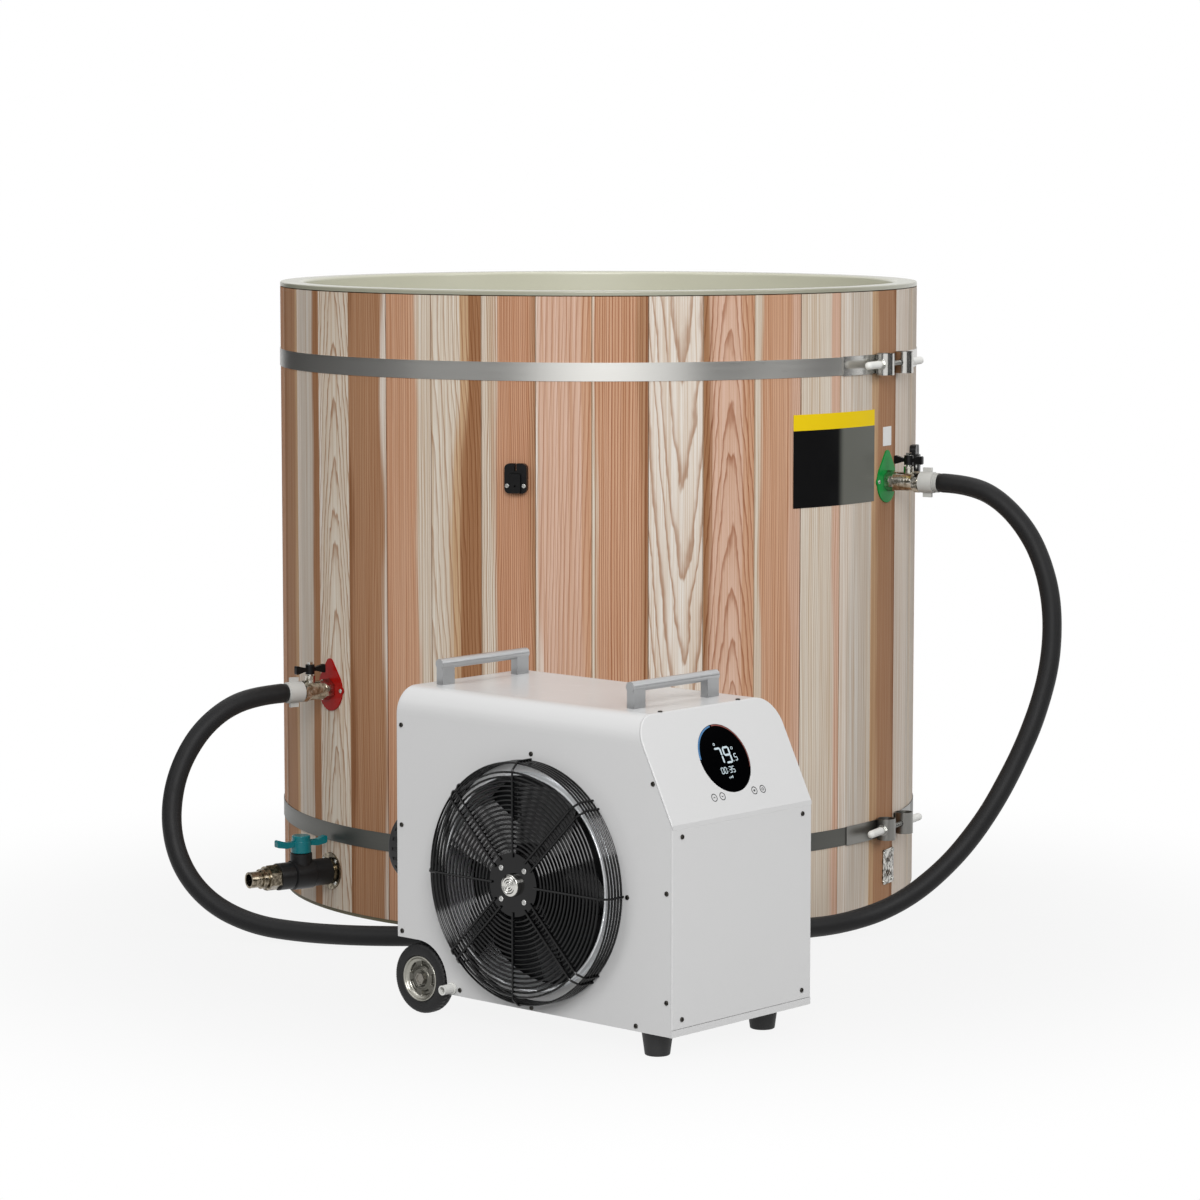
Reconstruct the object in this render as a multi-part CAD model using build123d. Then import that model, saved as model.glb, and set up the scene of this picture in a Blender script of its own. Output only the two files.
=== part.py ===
from build123d import *
import math
import os

# A barrel tub for cold plunges with its chiller, two hoses and three ball valves.
# Millimetres, +Z up, origin on the floor under the middle of the tub.
# An azimuth turns about the tub from the front (-Y) towards the right (+X).

# Play between pieces
SEAT_GAP = 0.2
BORE_GAP = 0.3
SHAFT_GAP = 0.05
LID_GAP = 0.3

# Tub wall and base
TUB_RADIUS = 535.0
STAVE_COUNT = 38
STAVE_THICKNESS = 22.0
STAVE_LENGTH = 1005.0
STAVE_JOINT = 0.3
STAVE_EDGE = 0.8
FIRST_SEAM = -1.1
BASE_THICKNESS = 6.0
BASE_INSET = 2.0

# Foam and the acrylic well
FLOOR_FOAM = 12.0
WELL_RADIUS = 498.0
WELL_WALL = 5.0
WELL_FLOOR = 6.0
WELL_CORNER = 12.0
RIM_GAP = 1.5
RIM_THICKNESS = 7.0
RIM_OUTER_ROUND = 2.5
RIM_INNER_ROUND = 5.0

# Hoops and their clamps
STRAP_WIDTH = 29.0
STRAP_THICKNESS = 1.1
UPPER_HOOP_HEIGHT = 894.0
LOWER_HOOP_HEIGHT = 132.0
UPPER_CLAMP_AZIMUTH = 60.8
LOWER_CLAMP_AZIMUTH = 62.6
LOOP_RADIUS = 15.0
LOOP_WALL = 1.2
LOOP_HEIGHT = 35.0
LOOP_SPREAD = 73.0
LOOP_SLOT = 10.0
STRAP_OPENING = 60.0
TAIL_LENGTH = 97.0
TAIL_WIDTH = 31.0
TAIL_THICKNESS = 1.2
BOLT_RADIUS = 4.0
BOLT_END = 26.0
TRUNNION_RADIUS = 9.0
TRUNNION_HEIGHT = 28.0
WASHER_RADIUS = 9.0
WASHER_THICKNESS = 1.6
NUT_ACROSS = 13.0
NUT_HEIGHT = 6.5
CAP_RADIUS = 6.3
CAP_LENGTH = 44.0

# Screws that hold trim to the wall
SCREW_RADIUS = 1.6
SCREW_REACH = 16.0
SCREW_HEAD_RADIUS = 3.4
SCREW_HEAD_HEIGHT = 1.8
RECESS_WIDTH = 0.9
RECESS_DEPTH = 1.1

# Lid latch receivers
LATCH_AZIMUTH = -13.75
LATCH_COUNT = 4
LATCH_HEIGHT = 727.5
LATCH_WIDTH = 36.0
LATCH_LENGTH = 47.0
LATCH_BASE = 10.0
LATCH_PAD = 4.0
LATCH_PAD_LENGTH = 32.0
LATCH_ROUND = 8.0
LATCH_SLOT_WIDTH = 3.0
LATCH_SLOT_DEPTH = 12.0
LATCH_HOLE = 1.5
LATCH_SCREW_SPREAD = 26.4
LATCH_SCREW_DROP = 11.5

# Labels, bare of any print
LABEL_THICKNESS = 0.4
LABEL_START = 35.2
LABEL_END = 56.5
LABEL_BOTTOM = 671.8
LABEL_BAND = 794.9
LABEL_TOP = 820.5
STICKER_START = 59.7
STICKER_END = 63.1
STICKER_BOTTOM = 759.0
STICKER_TOP = 790.0

# Vent in the wall
VENT_AZIMUTH = 63.1
VENT_HEIGHT = 63.0
VENT_WIDTH = 44.0
VENT_LENGTH = 58.0
VENT_THICKNESS = 2.0
VENT_HOLE = 13.0
VENT_SLOT = 3.0
VENT_SLOT_STEP = 6.5
VENT_SLOT_LENGTH = 15.0
VENT_SCREW_INSET = 5.0

# Fittings through the wall
OUTLET_AZIMUTH = -54.4
OUTLET_HEIGHT = 367.0
INLET_AZIMUTH = 61.3
INLET_HEIGHT = 702.0
DRAIN_AZIMUTH = -54.8
DRAIN_HEIGHT = 67.0
SHANK_RADIUS = 13.2
SHANK_BORE = 9.5
INNER_FLANGE_RADIUS = 31.0
INNER_FLANGE_THICKNESS = 5.0
SOCKET_DEPTH = 14.0

# Coloured plates behind the two service valves
PLATE_RADIUS = 35.5
PLATE_THICKNESS = 2.0
PLATE_LOBE_RADIUS = 11.0
PLATE_LOBE_HEIGHT = 39.0
PLATE_EAR_RADIUS = 6.5
PLATE_EAR_SPREAD = 64.0

# Service valves on the hoses
VALVE_HEX = 30.0
VALVE_HEX_LENGTH = 14.0
VALVE_RADIUS = 15.5
VALVE_THREAD_RADIUS = 13.0
VALVE_THREAD_LENGTH = 5.0
OUTLET_VALVE_LENGTH = 57.0
INLET_VALVE_LENGTH = 62.0
STEM_DISTANCE = 36.8
BALL_RADIUS = 12.6
BALL_GAP = 0.2
STEM_RADIUS = 4.0
NECK_RADIUS = 8.0
NECK_TOP = 25.0
HANDLE_HEIGHT = 35.0
OUTLET_HANDLE_LENGTH = 55.0
INLET_HANDLE_LENGTH = 50.0
HANDLE_TIP = 15.5
HANDLE_WAIST = 6.0
HANDLE_THICKNESS = 7.0
HANDLE_HUB_RADIUS = 7.5
HANDLE_NUT_ACROSS = 9.0
HANDLE_NUT_HEIGHT = 4.0
UNION_RADIUS = 17.0
UNION_OVERLAP = 3.0
OUTLET_UNION_LENGTH = 27.0
INLET_UNION_LENGTH = 24.0
UNION_LUG_WIDTH = 15.0
UNION_LUG_THICKNESS = 6.0
UNION_LUG_TOP = 24.0
OUTLET_COLLAR = 2.0
INLET_COLLAR = 8.0
COLLAR_RADIUS = 15.9
RIB_DEPTH = 1.2
RIB_COUNT = 3

# Drain valve
DRAIN_FLANGE_RADIUS = 30.5
DRAIN_FLANGE_THICKNESS = 2.5
DRAIN_BOSS_RADIUS = 19.0
DRAIN_BOSS_HEIGHT = 3.5
DRAIN_SCREW_CIRCLE = 25.0
DRAIN_BODY_RADIUS = 22.0
DRAIN_BODY_LENGTH = 96.0
DRAIN_BULGE_RADIUS = 24.0
DRAIN_BULGE_LENGTH = 38.0
DRAIN_NUT_LENGTH = 25.0
DRAIN_STEM_DISTANCE = 50.0
DRAIN_BALL_RADIUS = 17.0
DRAIN_STEM_RADIUS = 5.0
DRAIN_COLLAR_RADIUS = 18.0
DRAIN_COLLAR_TOP = 35.0
DRAIN_HUB_RADIUS = 16.5
DRAIN_HUB_BOTTOM = 36.0
DRAIN_HUB_TOP = 55.0
DRAIN_CAP_RADIUS = 15.0
DRAIN_CAP_TOP = 64.0
DRAIN_WING_LENGTH = 94.0
DRAIN_WING_THICKNESS = 10.0
DRAIN_WING_LOW = 45.0
DRAIN_WING_HIGH = 61.0
DRAIN_WING_ROOT = 47.0
NIPPLE_HEX = 36.0
NIPPLE_HEX_LENGTH = 32.0
NIPPLE_RING_RADIUS = 19.5
NIPPLE_RING_WIDTH = 3.0
NIPPLE_THREAD_RADIUS = 13.2
NIPPLE_THREAD_LENGTH = 20.0
NIPPLE_BORE = 10.0
NIPPLE_SPIGOT = 15.0

# Hoses
HOSE_RADIUS = 16.0
OUTLET_LEAD = 54.0
INLET_LEAD = 58.0
PORT_LEAD = 50.0

# Chiller casing: x along its length from the wheels, y from the fan face to the back
CHILLER_X = -290.1
CHILLER_Y = -1057.5
CHILLER_TURN = -42.2
CASE_LENGTH = 527.0
CASE_DEPTH = 297.0
CASE_BOTTOM = 37.0
CASE_TOP = 471.0
CASE_CORNER = 38.5
SHEET = 1.5
PANEL = 3.0
PANEL_EDGE = 1.3
SLOPE_RUN = 71.0
SLOPE_DROP = 142.0
PAN_STRIP = 9.8
PAN_WALL = 22.0
BACK_SLOT_ROWS = 10
BACK_SLOT_BOTTOM = 180.0
BACK_SLOT_STEP = 18.0
BACK_SLOT_HEIGHT = 6.0
BACK_SLOT_LENGTH = 110.0
BACK_SLOT_SPREAD = 140.0

# Wheels, axle and feet
WHEEL_X = 43.0
WHEEL_RADIUS = 51.0
WHEEL_WIDTH = 25.0
TYRE_INNER = 33.0
TYRE_ROUND = 5.0
HUB_WEB = 12.0
HUB_BOSS = 12.0
HUB_POCKETS = 5
HUB_POCKET_INNER = 17.0
HUB_POCKET_OUTER = 25.0
HUB_POCKET_SWEEP = 50.0
AXLE_RADIUS = 6.0
AXLE_NUT_ACROSS = 15.0
AXLE_NUT_HEIGHT = 4.0
ARCH_RADIUS = 57.0
EAR_WIDTH = 36.0
EAR_THICKNESS = 2.5
FOOT_X = 469.0
FOOT_INSET = 36.0
FOOT_TOP_RADIUS = 22.5
FOOT_BOTTOM_RADIUS = 17.5

# Fan, guard and coil
FAN_X = 265.5
FAN_Z = 221.0
FAN_OPENING = 150.5
FAN_COLLAR = 14.0
FAN_DUCT = 35.0
FAN_LIP = 1.6
FAN_SCREW_CIRCLE = 180.0
GUARD_RADIUS = 170.0
GUARD_HEIGHT = 38.5
GUARD_WIRE = 1.5
GUARD_WIRE_SIDES = 8
GUARD_FACE_RADIUS = 158.0
GUARD_FIRST_RING = 52.0
GUARD_RINGS = 17
GUARD_SIDE_RINGS = 5
GUARD_SHOULDER = 6.0
WELD = 0.4
SPOKE_SPREAD = 15.0
GUARD_PLATE_RADIUS = 45.0
GUARD_PLATE_THICKNESS = 2.0
GUARD_PLATE_OVERLAP = 6.0
PLATE_SCREW_CIRCLE = 31.0
PLATE_SCREW_REACH = 10.0
PLATE_SCREW_HEAD = 4.1
STATOR_RADIUS = 38.0
STATOR_LENGTH = 30.0
MOTOR_CAP_RADIUS = 16.0
MOTOR_CAP_HEIGHT = 9.0
ROTOR_GAP = 1.2
ROTOR_WALL = 3.0
ROTOR_BACK = 8.0
FAN_SHAFT_RADIUS = 5.0
BLADE_COUNT = 5
BLADE_RADIUS = 142.0
BLADE_CHORD = 78.0
BLADE_THICKNESS = 2.5
BLADE_PITCH = 27.0
COIL_FRONT = 42.0
COIL_THICKNESS = 32.0
COIL_WIDTH = 296.0
COIL_HEIGHT = 330.0
COIL_TUBE = 4.0
COIL_GAP = 1.0
COIL_BENDS = 9

# Pieces inside the chiller
COMPRESSOR_X = 185.0
COMPRESSOR_Y = 190.0
COMPRESSOR_RADIUS = 55.0
COMPRESSOR_HEIGHT = 200.0
EXCHANGER_X = 305.0
EXCHANGER_Y = 190.0
EXCHANGER_RADIUS = 38.0
EXCHANGER_HEIGHT = 240.0
PUMP_X = 415.0
PUMP_Y = 190.0
PUMP_RADIUS = 42.0
PUMP_LENGTH = 90.0
PUMP_HEIGHT = 52.0
MOUNT_PLATE = 3.0
FILTER_Y = 80.0
FILTER_Z = 228.0
FILTER_RADIUS = 45.0
FILTER_LENGTH = 80.0
FILTER_FLANGE = 54.0
FILTER_CAP_RADIUS = 55.0
FILTER_CAP_LENGTH = 48.0
FILTER_CAP_GROOVE = 3.0
FILTER_CAP_GROOVE_STEP = 15
FILTER_NECK = 28.0

# Water, drain and power connections of the chiller
PORT_Z = 80.0
OUTLET_PORT_X = 150.0
INLET_PORT_X = 300.0
PORT_REACH = 45.0
PORT_NUT_RADIUS = 21.0
PORT_NUT_WIDTH = 12.0
PORT_TAIL = 22.0
NOZZLE_X = 111.0
NOZZLE_Z = 47.0
NOZZLE_RADIUS = 7.0
NOZZLE_FLANGE = 8.5
NOZZLE_REACH = 22.0
NOZZLE_BORE = 5.0
GLAND_X = 440.0
GLAND_Z = 90.0
GLAND_RADIUS = 8.0
GLAND_NUT_ACROSS = 22.0
GLAND_REACH = 16.0

# Display on the sloping face, measured down the slope from its top edge
DISPLAY_DOWN = 77.8
DISPLAY_Y = 150.5
DISPLAY_RADIUS = 50.0
GLASS_RECESS = 0.3
BOARD_DEPTH = 18.0
BOARD_LENGTH = 100.0
BOARD_WIDTH = 130.0
BOARD_THICKNESS = 1.6
STANDOFF_RADIUS = 3.0
STANDOFF_INSET = 6.0
BEZEL_OUTER = 48.0
BEZEL_INNER = 44.0

# Carrying handles
HANDLE_BAR_RADIUS = 7.5
HANDLE_BAR_Z = 501.0
HANDLE_BAR_LENGTH = 182.0
POST_GAP = 132.0
POST_THICKNESS = 13.0
POST_WIDTH = 24.0
POST_DROP = 2.0
LEFT_HANDLE_X = 30.5
RIGHT_HANDLE_X = 398.5

# Heights and radii that follow from the values above
STAVE_INNER = TUB_RADIUS - STAVE_THICKNESS
STAVE_TOP = BASE_THICKNESS + STAVE_LENGTH
STAVE_PITCH = 360.0 / STAVE_COUNT
WELL_OUTER = WELL_RADIUS + WELL_WALL
WELL_UNDERSIDE = BASE_THICKNESS + FLOOR_FOAM
WELL_BOTTOM = WELL_UNDERSIDE + WELL_FLOOR
RIM_BOTTOM = STAVE_TOP + RIM_GAP
RIM_TOP = RIM_BOTTOM + RIM_THICKNESS
WALL_FACE = TUB_RADIUS + SEAT_GAP
STRAP_FACE = WALL_FACE + STRAP_THICKNESS
PLATE_FACE = WALL_FACE + PLATE_THICKNESS
VALVE_START = PLATE_FACE + LID_GAP
STEM_RADIAL = VALVE_START + STEM_DISTANCE
DRAIN_FACE = WALL_FACE + DRAIN_FLANGE_THICKNESS + DRAIN_BOSS_HEIGHT
DRAIN_START = DRAIN_FACE + LID_GAP
DRAIN_END = DRAIN_START + DRAIN_BODY_LENGTH
DRAIN_STEM_RADIAL = DRAIN_START + DRAIN_STEM_DISTANCE
AXLE_Z = WHEEL_RADIUS
SLOPE_X = CASE_LENGTH - SLOPE_RUN
SLOPE_LENGTH = math.hypot(SLOPE_RUN, SLOPE_DROP)
PAN_FLOOR_TOP = CASE_BOTTOM + SHEET

BASE = (Align.CENTER, Align.CENTER, Align.MIN)
CORNER = (Align.MIN, Align.MIN, Align.MIN)
CHILLER = Location((CHILLER_X, CHILLER_Y, 0), (0, 0, CHILLER_TURN))


def around(azimuth, height=0.0):
    """A place on the tub's axis whose X axis points outwards at this azimuth."""
    return Location((0, 0, height), (0, 0, azimuth - 90))


def arc_degrees(distance, radius):
    """The angle, in degrees, of this distance measured round this radius."""
    return math.degrees(distance / radius)


def rod(radius, start, end):
    """A round bar along X."""
    return Pos(start, 0, 0) * Rot(0, 90, 0) * Cylinder(radius, end - start, align=BASE)


def cross_rod(radius, start, end):
    """A round bar along Y."""
    return Pos(0, start, 0) * Rot(-90, 0, 0) * Cylinder(radius, end - start, align=BASE)


def upright(radius, bottom, top):
    """A round bar along Z."""
    return Pos(0, 0, bottom) * Cylinder(radius, top - bottom, align=BASE)


def hex_rod(across, start, end):
    """A hexagonal bar along X, with this distance between its flats."""
    section = RegularPolygon(across / 2, 6, major_radius=False)
    return Pos(start, 0, 0) * Rot(0, 90, 0) * extrude(section, amount=end - start)


def hex_upright(across, bottom, top):
    """A hexagonal bar along Z."""
    section = RegularPolygon(across / 2, 6, major_radius=False)
    return Pos(0, 0, bottom) * extrude(section, amount=top - bottom)


def block(x_range, y_range, z_range):
    """A box between two places along each axis."""
    size = [end - start for start, end in (x_range, y_range, z_range)]
    return Pos(x_range[0], y_range[0], z_range[0]) * Box(*size, align=CORNER)


def tube(outer, inner, bottom, top):
    """A pipe along Z."""
    return upright(outer, bottom, top) - upright(inner, bottom - 1, top + 1)


def band(inner, outer, bottom, top, start, end):
    """A curved strip on the tub between two azimuths."""
    section = Pos((inner + outer) / 2, (bottom + top) / 2) * Rectangle(outer - inner, top - bottom)
    strip = revolve(Plane.XZ * section, axis=Axis.Z, revolution_arc=end - start)
    return Rot(0, 0, start - 90) * strip


def turned(points, radii):
    """A solid of revolution about Z from a closed outline with a radius at each corner."""
    outline = FilletPolyline(*points, radius=radii, close=True)
    return revolve(Plane.XZ * make_face(outline), axis=Axis.Z)


def bent_sheet(outline, inner, thickness):
    """A sheet of this outline, bent round the tub's axis and facing outwards along X."""
    plane = Plane((0, 0, 0), x_dir=(0, 1, 0), z_dir=(1, 0, 0))
    prism = extrude(plane * outline, amount=inner + 2 * thickness)
    reach = 2 * TUB_RADIUS
    return prism & tube(inner + thickness, inner, -reach, reach)


def group(pieces):
    """Several solids that share one name."""
    return Compound([solid for piece in pieces for solid in piece.solids()])


# Holes that fittings and screws need in the wall

def trim_screws():
    """Azimuth, height and seat radius of every screw in the wooden wall."""
    places = []
    ear = arc_degrees(PLATE_EAR_SPREAD / 2, TUB_RADIUS)
    for azimuth, height in ((OUTLET_AZIMUTH, OUTLET_HEIGHT), (INLET_AZIMUTH, INLET_HEIGHT)):
        for side in (-1, 1):
            places.append((azimuth + side * ear, height, PLATE_FACE))
    for quarter in (45, 135, 225, 315):
        sideways = DRAIN_SCREW_CIRCLE * math.cos(math.radians(quarter))
        raised = DRAIN_SCREW_CIRCLE * math.sin(math.radians(quarter))
        seat = WALL_FACE + DRAIN_FLANGE_THICKNESS
        places.append((DRAIN_AZIMUTH + arc_degrees(sideways, TUB_RADIUS), DRAIN_HEIGHT + raised, seat))
    for index in range(LATCH_COUNT):
        for side in (-1, 1):
            azimuth = latch_azimuth(index) + side * arc_degrees(LATCH_SCREW_SPREAD / 2, TUB_RADIUS)
            seat = math.hypot(WALL_FACE + LATCH_BASE, LATCH_SCREW_SPREAD / 2) + SEAT_GAP / 2
            places.append((azimuth, LATCH_HEIGHT - LATCH_SCREW_DROP, seat))
    for side in (-1, 1):
        for rise in (-1, 1):
            sideways = side * (VENT_WIDTH / 2 - VENT_SCREW_INSET)
            azimuth = VENT_AZIMUTH + arc_degrees(sideways, TUB_RADIUS)
            height = VENT_HEIGHT + rise * (VENT_LENGTH / 2 - VENT_SCREW_INSET)
            places.append((azimuth, height, WALL_FACE + VENT_THICKNESS))
    return places


def wall_holes():
    """Azimuth, height, radius and inner end of each hole in the wooden wall."""
    holes = []
    for azimuth, height in ((OUTLET_AZIMUTH, OUTLET_HEIGHT), (INLET_AZIMUTH, INLET_HEIGHT),
                            (DRAIN_AZIMUTH, DRAIN_HEIGHT)):
        holes.append((azimuth, height, SHANK_RADIUS + BORE_GAP, 0.0))
    holes.append((VENT_AZIMUTH, VENT_HEIGHT, VENT_HOLE, STAVE_INNER - 1))
    for azimuth, height, seat in trim_screws():
        holes.append((azimuth, height, SCREW_RADIUS + SHAFT_GAP, seat - SCREW_REACH - 1))
    return holes


def hole_cutter(azimuth, height, radius, start):
    """A round cutter that comes out of the wall at this azimuth and height."""
    return around(azimuth, height) * rod(radius, start, 1.1 * TUB_RADIUS)


# Tub

def base_plate():
    """Round board that the staves stand on."""
    return upright(TUB_RADIUS - BASE_INSET, 0, BASE_THICKNESS)


def shank_cutters():
    """Cutters for the three shanks that pass through the wall."""
    return [hole_cutter(*hole) for hole in wall_holes()[:3]]


def foam_insulation():
    """Foam cup between the staves and the well."""
    outer = STAVE_INNER - LID_GAP
    inner = WELL_OUTER + LID_GAP
    top = RIM_BOTTOM - LID_GAP
    points = [(0, BASE_THICKNESS), (outer, BASE_THICKNESS), (outer, top), (inner, top),
              (inner, WELL_UNDERSIDE), (0, WELL_UNDERSIDE)]
    cup = turned(points, [0, 0, 0, 0, 0, 0])
    return cup - shank_cutters()


def tub_liner():
    """Acrylic well: a floor, a wall and the rim that covers the staves' ends."""
    points = [(0, WELL_UNDERSIDE), (WELL_OUTER, WELL_UNDERSIDE), (WELL_OUTER, RIM_BOTTOM),
              (TUB_RADIUS, RIM_BOTTOM), (TUB_RADIUS, RIM_TOP), (WELL_RADIUS, RIM_TOP),
              (WELL_RADIUS, WELL_BOTTOM), (0, WELL_BOTTOM)]
    radii = [0, WELL_CORNER, 0, 0, RIM_OUTER_ROUND, RIM_INNER_ROUND, WELL_CORNER, 0]
    return turned(points, radii) - shank_cutters()


def stave():
    """One stave, lying along the local X axis: edges parallel to its middle plane are eased."""
    half = math.radians(STAVE_PITCH / 2)

    def side_point(radius, inward=0.0):
        angle = half - math.asin((STAVE_JOINT / 2 + inward) / radius)
        return radius * math.cos(angle), radius * math.sin(angle)

    inner = side_point(STAVE_INNER)
    shoulder = side_point(TUB_RADIUS - STAVE_EDGE)
    outer = side_point(TUB_RADIUS, STAVE_EDGE)

    def mirrored(point):
        return point[0], -point[1]

    edges = [
        ThreePointArc(mirrored(inner), (STAVE_INNER, 0), inner),
        Line(inner, shoulder),
        Line(shoulder, outer),
        ThreePointArc(outer, (TUB_RADIUS, 0), mirrored(outer)),
        Line(mirrored(outer), mirrored(shoulder)),
        Line(mirrored(shoulder), mirrored(inner)),
    ]
    return Pos(0, 0, BASE_THICKNESS) * extrude(make_face(edges), amount=STAVE_LENGTH)


def wall_staves():
    """All the staves, as those with holes and those without."""
    plain = []
    bored = []
    piece = stave()
    for index in range(STAVE_COUNT):
        centre = FIRST_SEAM + (index + 0.5) * STAVE_PITCH
        cutters = []
        for azimuth, height, radius, start in wall_holes():
            away = abs((azimuth - centre + 180) % 360 - 180)
            if away < STAVE_PITCH / 2 + arc_degrees(radius, STAVE_INNER):
                cutters.append(hole_cutter(azimuth, height, radius, start))
        placed = around(centre) * piece
        if cutters:
            bored.append(placed - cutters)
        else:
            plain.append(placed)
    return group(plain), group(bored)


# Hoops

def clamp_places():
    """Places of the two clamps on the tub's axis."""
    return [around(UPPER_CLAMP_AZIMUTH, UPPER_HOOP_HEIGHT), around(LOWER_CLAMP_AZIMUTH, LOWER_HOOP_HEIGHT)]


def loop_middle():
    """Distance from the tub's axis to the line through the middles of a clamp's loops."""
    radius = STRAP_FACE + SEAT_GAP + LOOP_RADIUS
    return math.sqrt(radius ** 2 - (LOOP_SPREAD / 2) ** 2)


def hoop_straps():
    """Two steel bands, open where their clamps draw them together."""
    half = STRAP_WIDTH / 2
    strap = tube(STRAP_FACE, WALL_FACE, -half, half)
    opening = block((0, 2 * TUB_RADIUS), (-STRAP_OPENING / 2, STRAP_OPENING / 2), (-STRAP_WIDTH, STRAP_WIDTH))
    return group([place * (strap - opening) for place in clamp_places()])


def clamp_bracket(side):
    """A tail welded to the band, which rolls up into a loop for the clamp's bolt."""
    x = loop_middle()
    y = side * LOOP_SPREAD / 2
    half = LOOP_HEIGHT / 2
    inner = STRAP_FACE + SEAT_GAP
    loop_angle = math.degrees(math.atan2(LOOP_SPREAD / 2, x))
    end_angle = loop_angle + arc_degrees(TAIL_LENGTH, inner)
    outer = inner + TAIL_THICKNESS
    tail = band(inner, outer, -TAIL_WIDTH / 2, TAIL_WIDTH / 2, 90 + loop_angle, 90 + end_angle)
    if side < 0:
        tail = mirror(tail, about=Plane.XZ)
    hollow = Pos(x, y, 0) * upright(LOOP_RADIUS - LOOP_WALL, -half - 1, half + 1)
    loop = Pos(x, y, 0) * upright(LOOP_RADIUS, -half, half)
    reach = LOOP_SPREAD
    slot = Pos(x, 0, 0) * cross_rod(LOOP_SLOT / 2, -reach, reach)
    return (tail + loop) - hollow - slot


def clamp_brackets():
    """The four loops and tails of both clamps."""
    pair = [clamp_bracket(-1), clamp_bracket(1)]
    return group([place * bracket for place in clamp_places() for bracket in pair])


def clamp_bolts():
    """A straight bolt across each clamp, with a trunnion in each loop."""
    x = loop_middle()
    reach = LOOP_SPREAD / 2 + LOOP_RADIUS + BOLT_END
    bolt = Pos(x, 0, 0) * cross_rod(BOLT_RADIUS, -reach, reach)
    half = TRUNNION_HEIGHT / 2
    for side in (-1, 1):
        bolt += Pos(x, side * LOOP_SPREAD / 2, 0) * upright(TRUNNION_RADIUS, -half, half)
    return group([place * bolt for place in clamp_places()])


def clamp_nuts():
    """Washer and nut outside each loop."""
    x = loop_middle()
    seat = LOOP_SPREAD / 2 + LOOP_RADIUS + SEAT_GAP
    bore = cross_rod(BOLT_RADIUS + SHAFT_GAP, 0, seat + BOLT_END)
    washer = cross_rod(WASHER_RADIUS, seat, seat + WASHER_THICKNESS) - bore
    start = seat + WASHER_THICKNESS + SHAFT_GAP
    section = RegularPolygon(NUT_ACROSS / 2, 6, major_radius=False)
    nut = Pos(0, start, 0) * Rot(-90, 0, 0) * extrude(section, amount=NUT_HEIGHT) - bore
    pieces = []
    for place in clamp_places():
        for turn in (0, 180):
            pieces += [place * Pos(x, 0, 0) * Rot(turn, 0, 0) * piece for piece in (washer, nut)]
    return group(pieces)


def clamp_caps():
    """Soft caps over the bolt's ends."""
    x = loop_middle()
    start = LOOP_SPREAD / 2 + LOOP_RADIUS + SEAT_GAP + WASHER_THICKNESS + NUT_HEIGHT + 2 * SHAFT_GAP
    end = start + CAP_LENGTH
    body = cross_rod(CAP_RADIUS, start, end - CAP_RADIUS)
    body += Pos(0, end - CAP_RADIUS, 0) * Sphere(CAP_RADIUS)
    depth = LOOP_SPREAD / 2 + LOOP_RADIUS + BOLT_END + SEAT_GAP
    cap = body - cross_rod(BOLT_RADIUS + SHAFT_GAP, 0, depth)
    pieces = []
    for place in clamp_places():
        for turn in (0, 180):
            pieces.append(place * Pos(x, 0, 0) * Rot(turn, 0, 0) * cap)
    return group(pieces)


# Trim on the wall

def cross_screw(reach, head_radius=SCREW_HEAD_RADIUS):
    """A cross-head screw whose head sits outwards of the origin along X."""
    profile = [(0, 0), (head_radius, 0), (head_radius, SCREW_HEAD_HEIGHT), (0, SCREW_HEAD_HEIGHT)]
    head = turned(profile, [0, 0, 0.6 * SCREW_HEAD_HEIGHT, 0])
    shank = upright(SCREW_RADIUS, -reach, 0)
    arm = 0.62 * head_radius
    recess = Box(2 * arm, RECESS_WIDTH, 2 * RECESS_DEPTH) + Box(RECESS_WIDTH, 2 * arm, 2 * RECESS_DEPTH)
    return Rot(0, 90, 0) * (head + shank - Pos(0, 0, SCREW_HEAD_HEIGHT) * recess)


def fitting_screws():
    """Every screw that holds trim to the staves."""
    screw = cross_screw(SCREW_REACH)
    seat_gap = SHAFT_GAP
    return group([around(azimuth, height) * Pos(seat + seat_gap, 0, 0) * screw
                  for azimuth, height, seat in trim_screws()])


def screw_clearances(azimuth, height, reach):
    """Cutters for the trim screws near a fitting, in that fitting's own frame."""
    inverse = around(azimuth, height).inverse()
    cutters = []
    for screw_azimuth, screw_height, seat in trim_screws():
        sideways = math.radians(screw_azimuth - azimuth) * TUB_RADIUS
        if math.hypot(sideways, screw_height - height) < reach:
            cutter = rod(SCREW_RADIUS + BORE_GAP, 0.9 * seat, 1.05 * seat)
            cutters.append(inverse * around(screw_azimuth, screw_height) * cutter)
    return cutters


def latch_azimuth(index):
    """Azimuth of one of the latch receivers, evenly spaced about the tub."""
    azimuth = LATCH_AZIMUTH + index * 360 / LATCH_COUNT
    return (azimuth + 180) % 360 - 180


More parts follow.
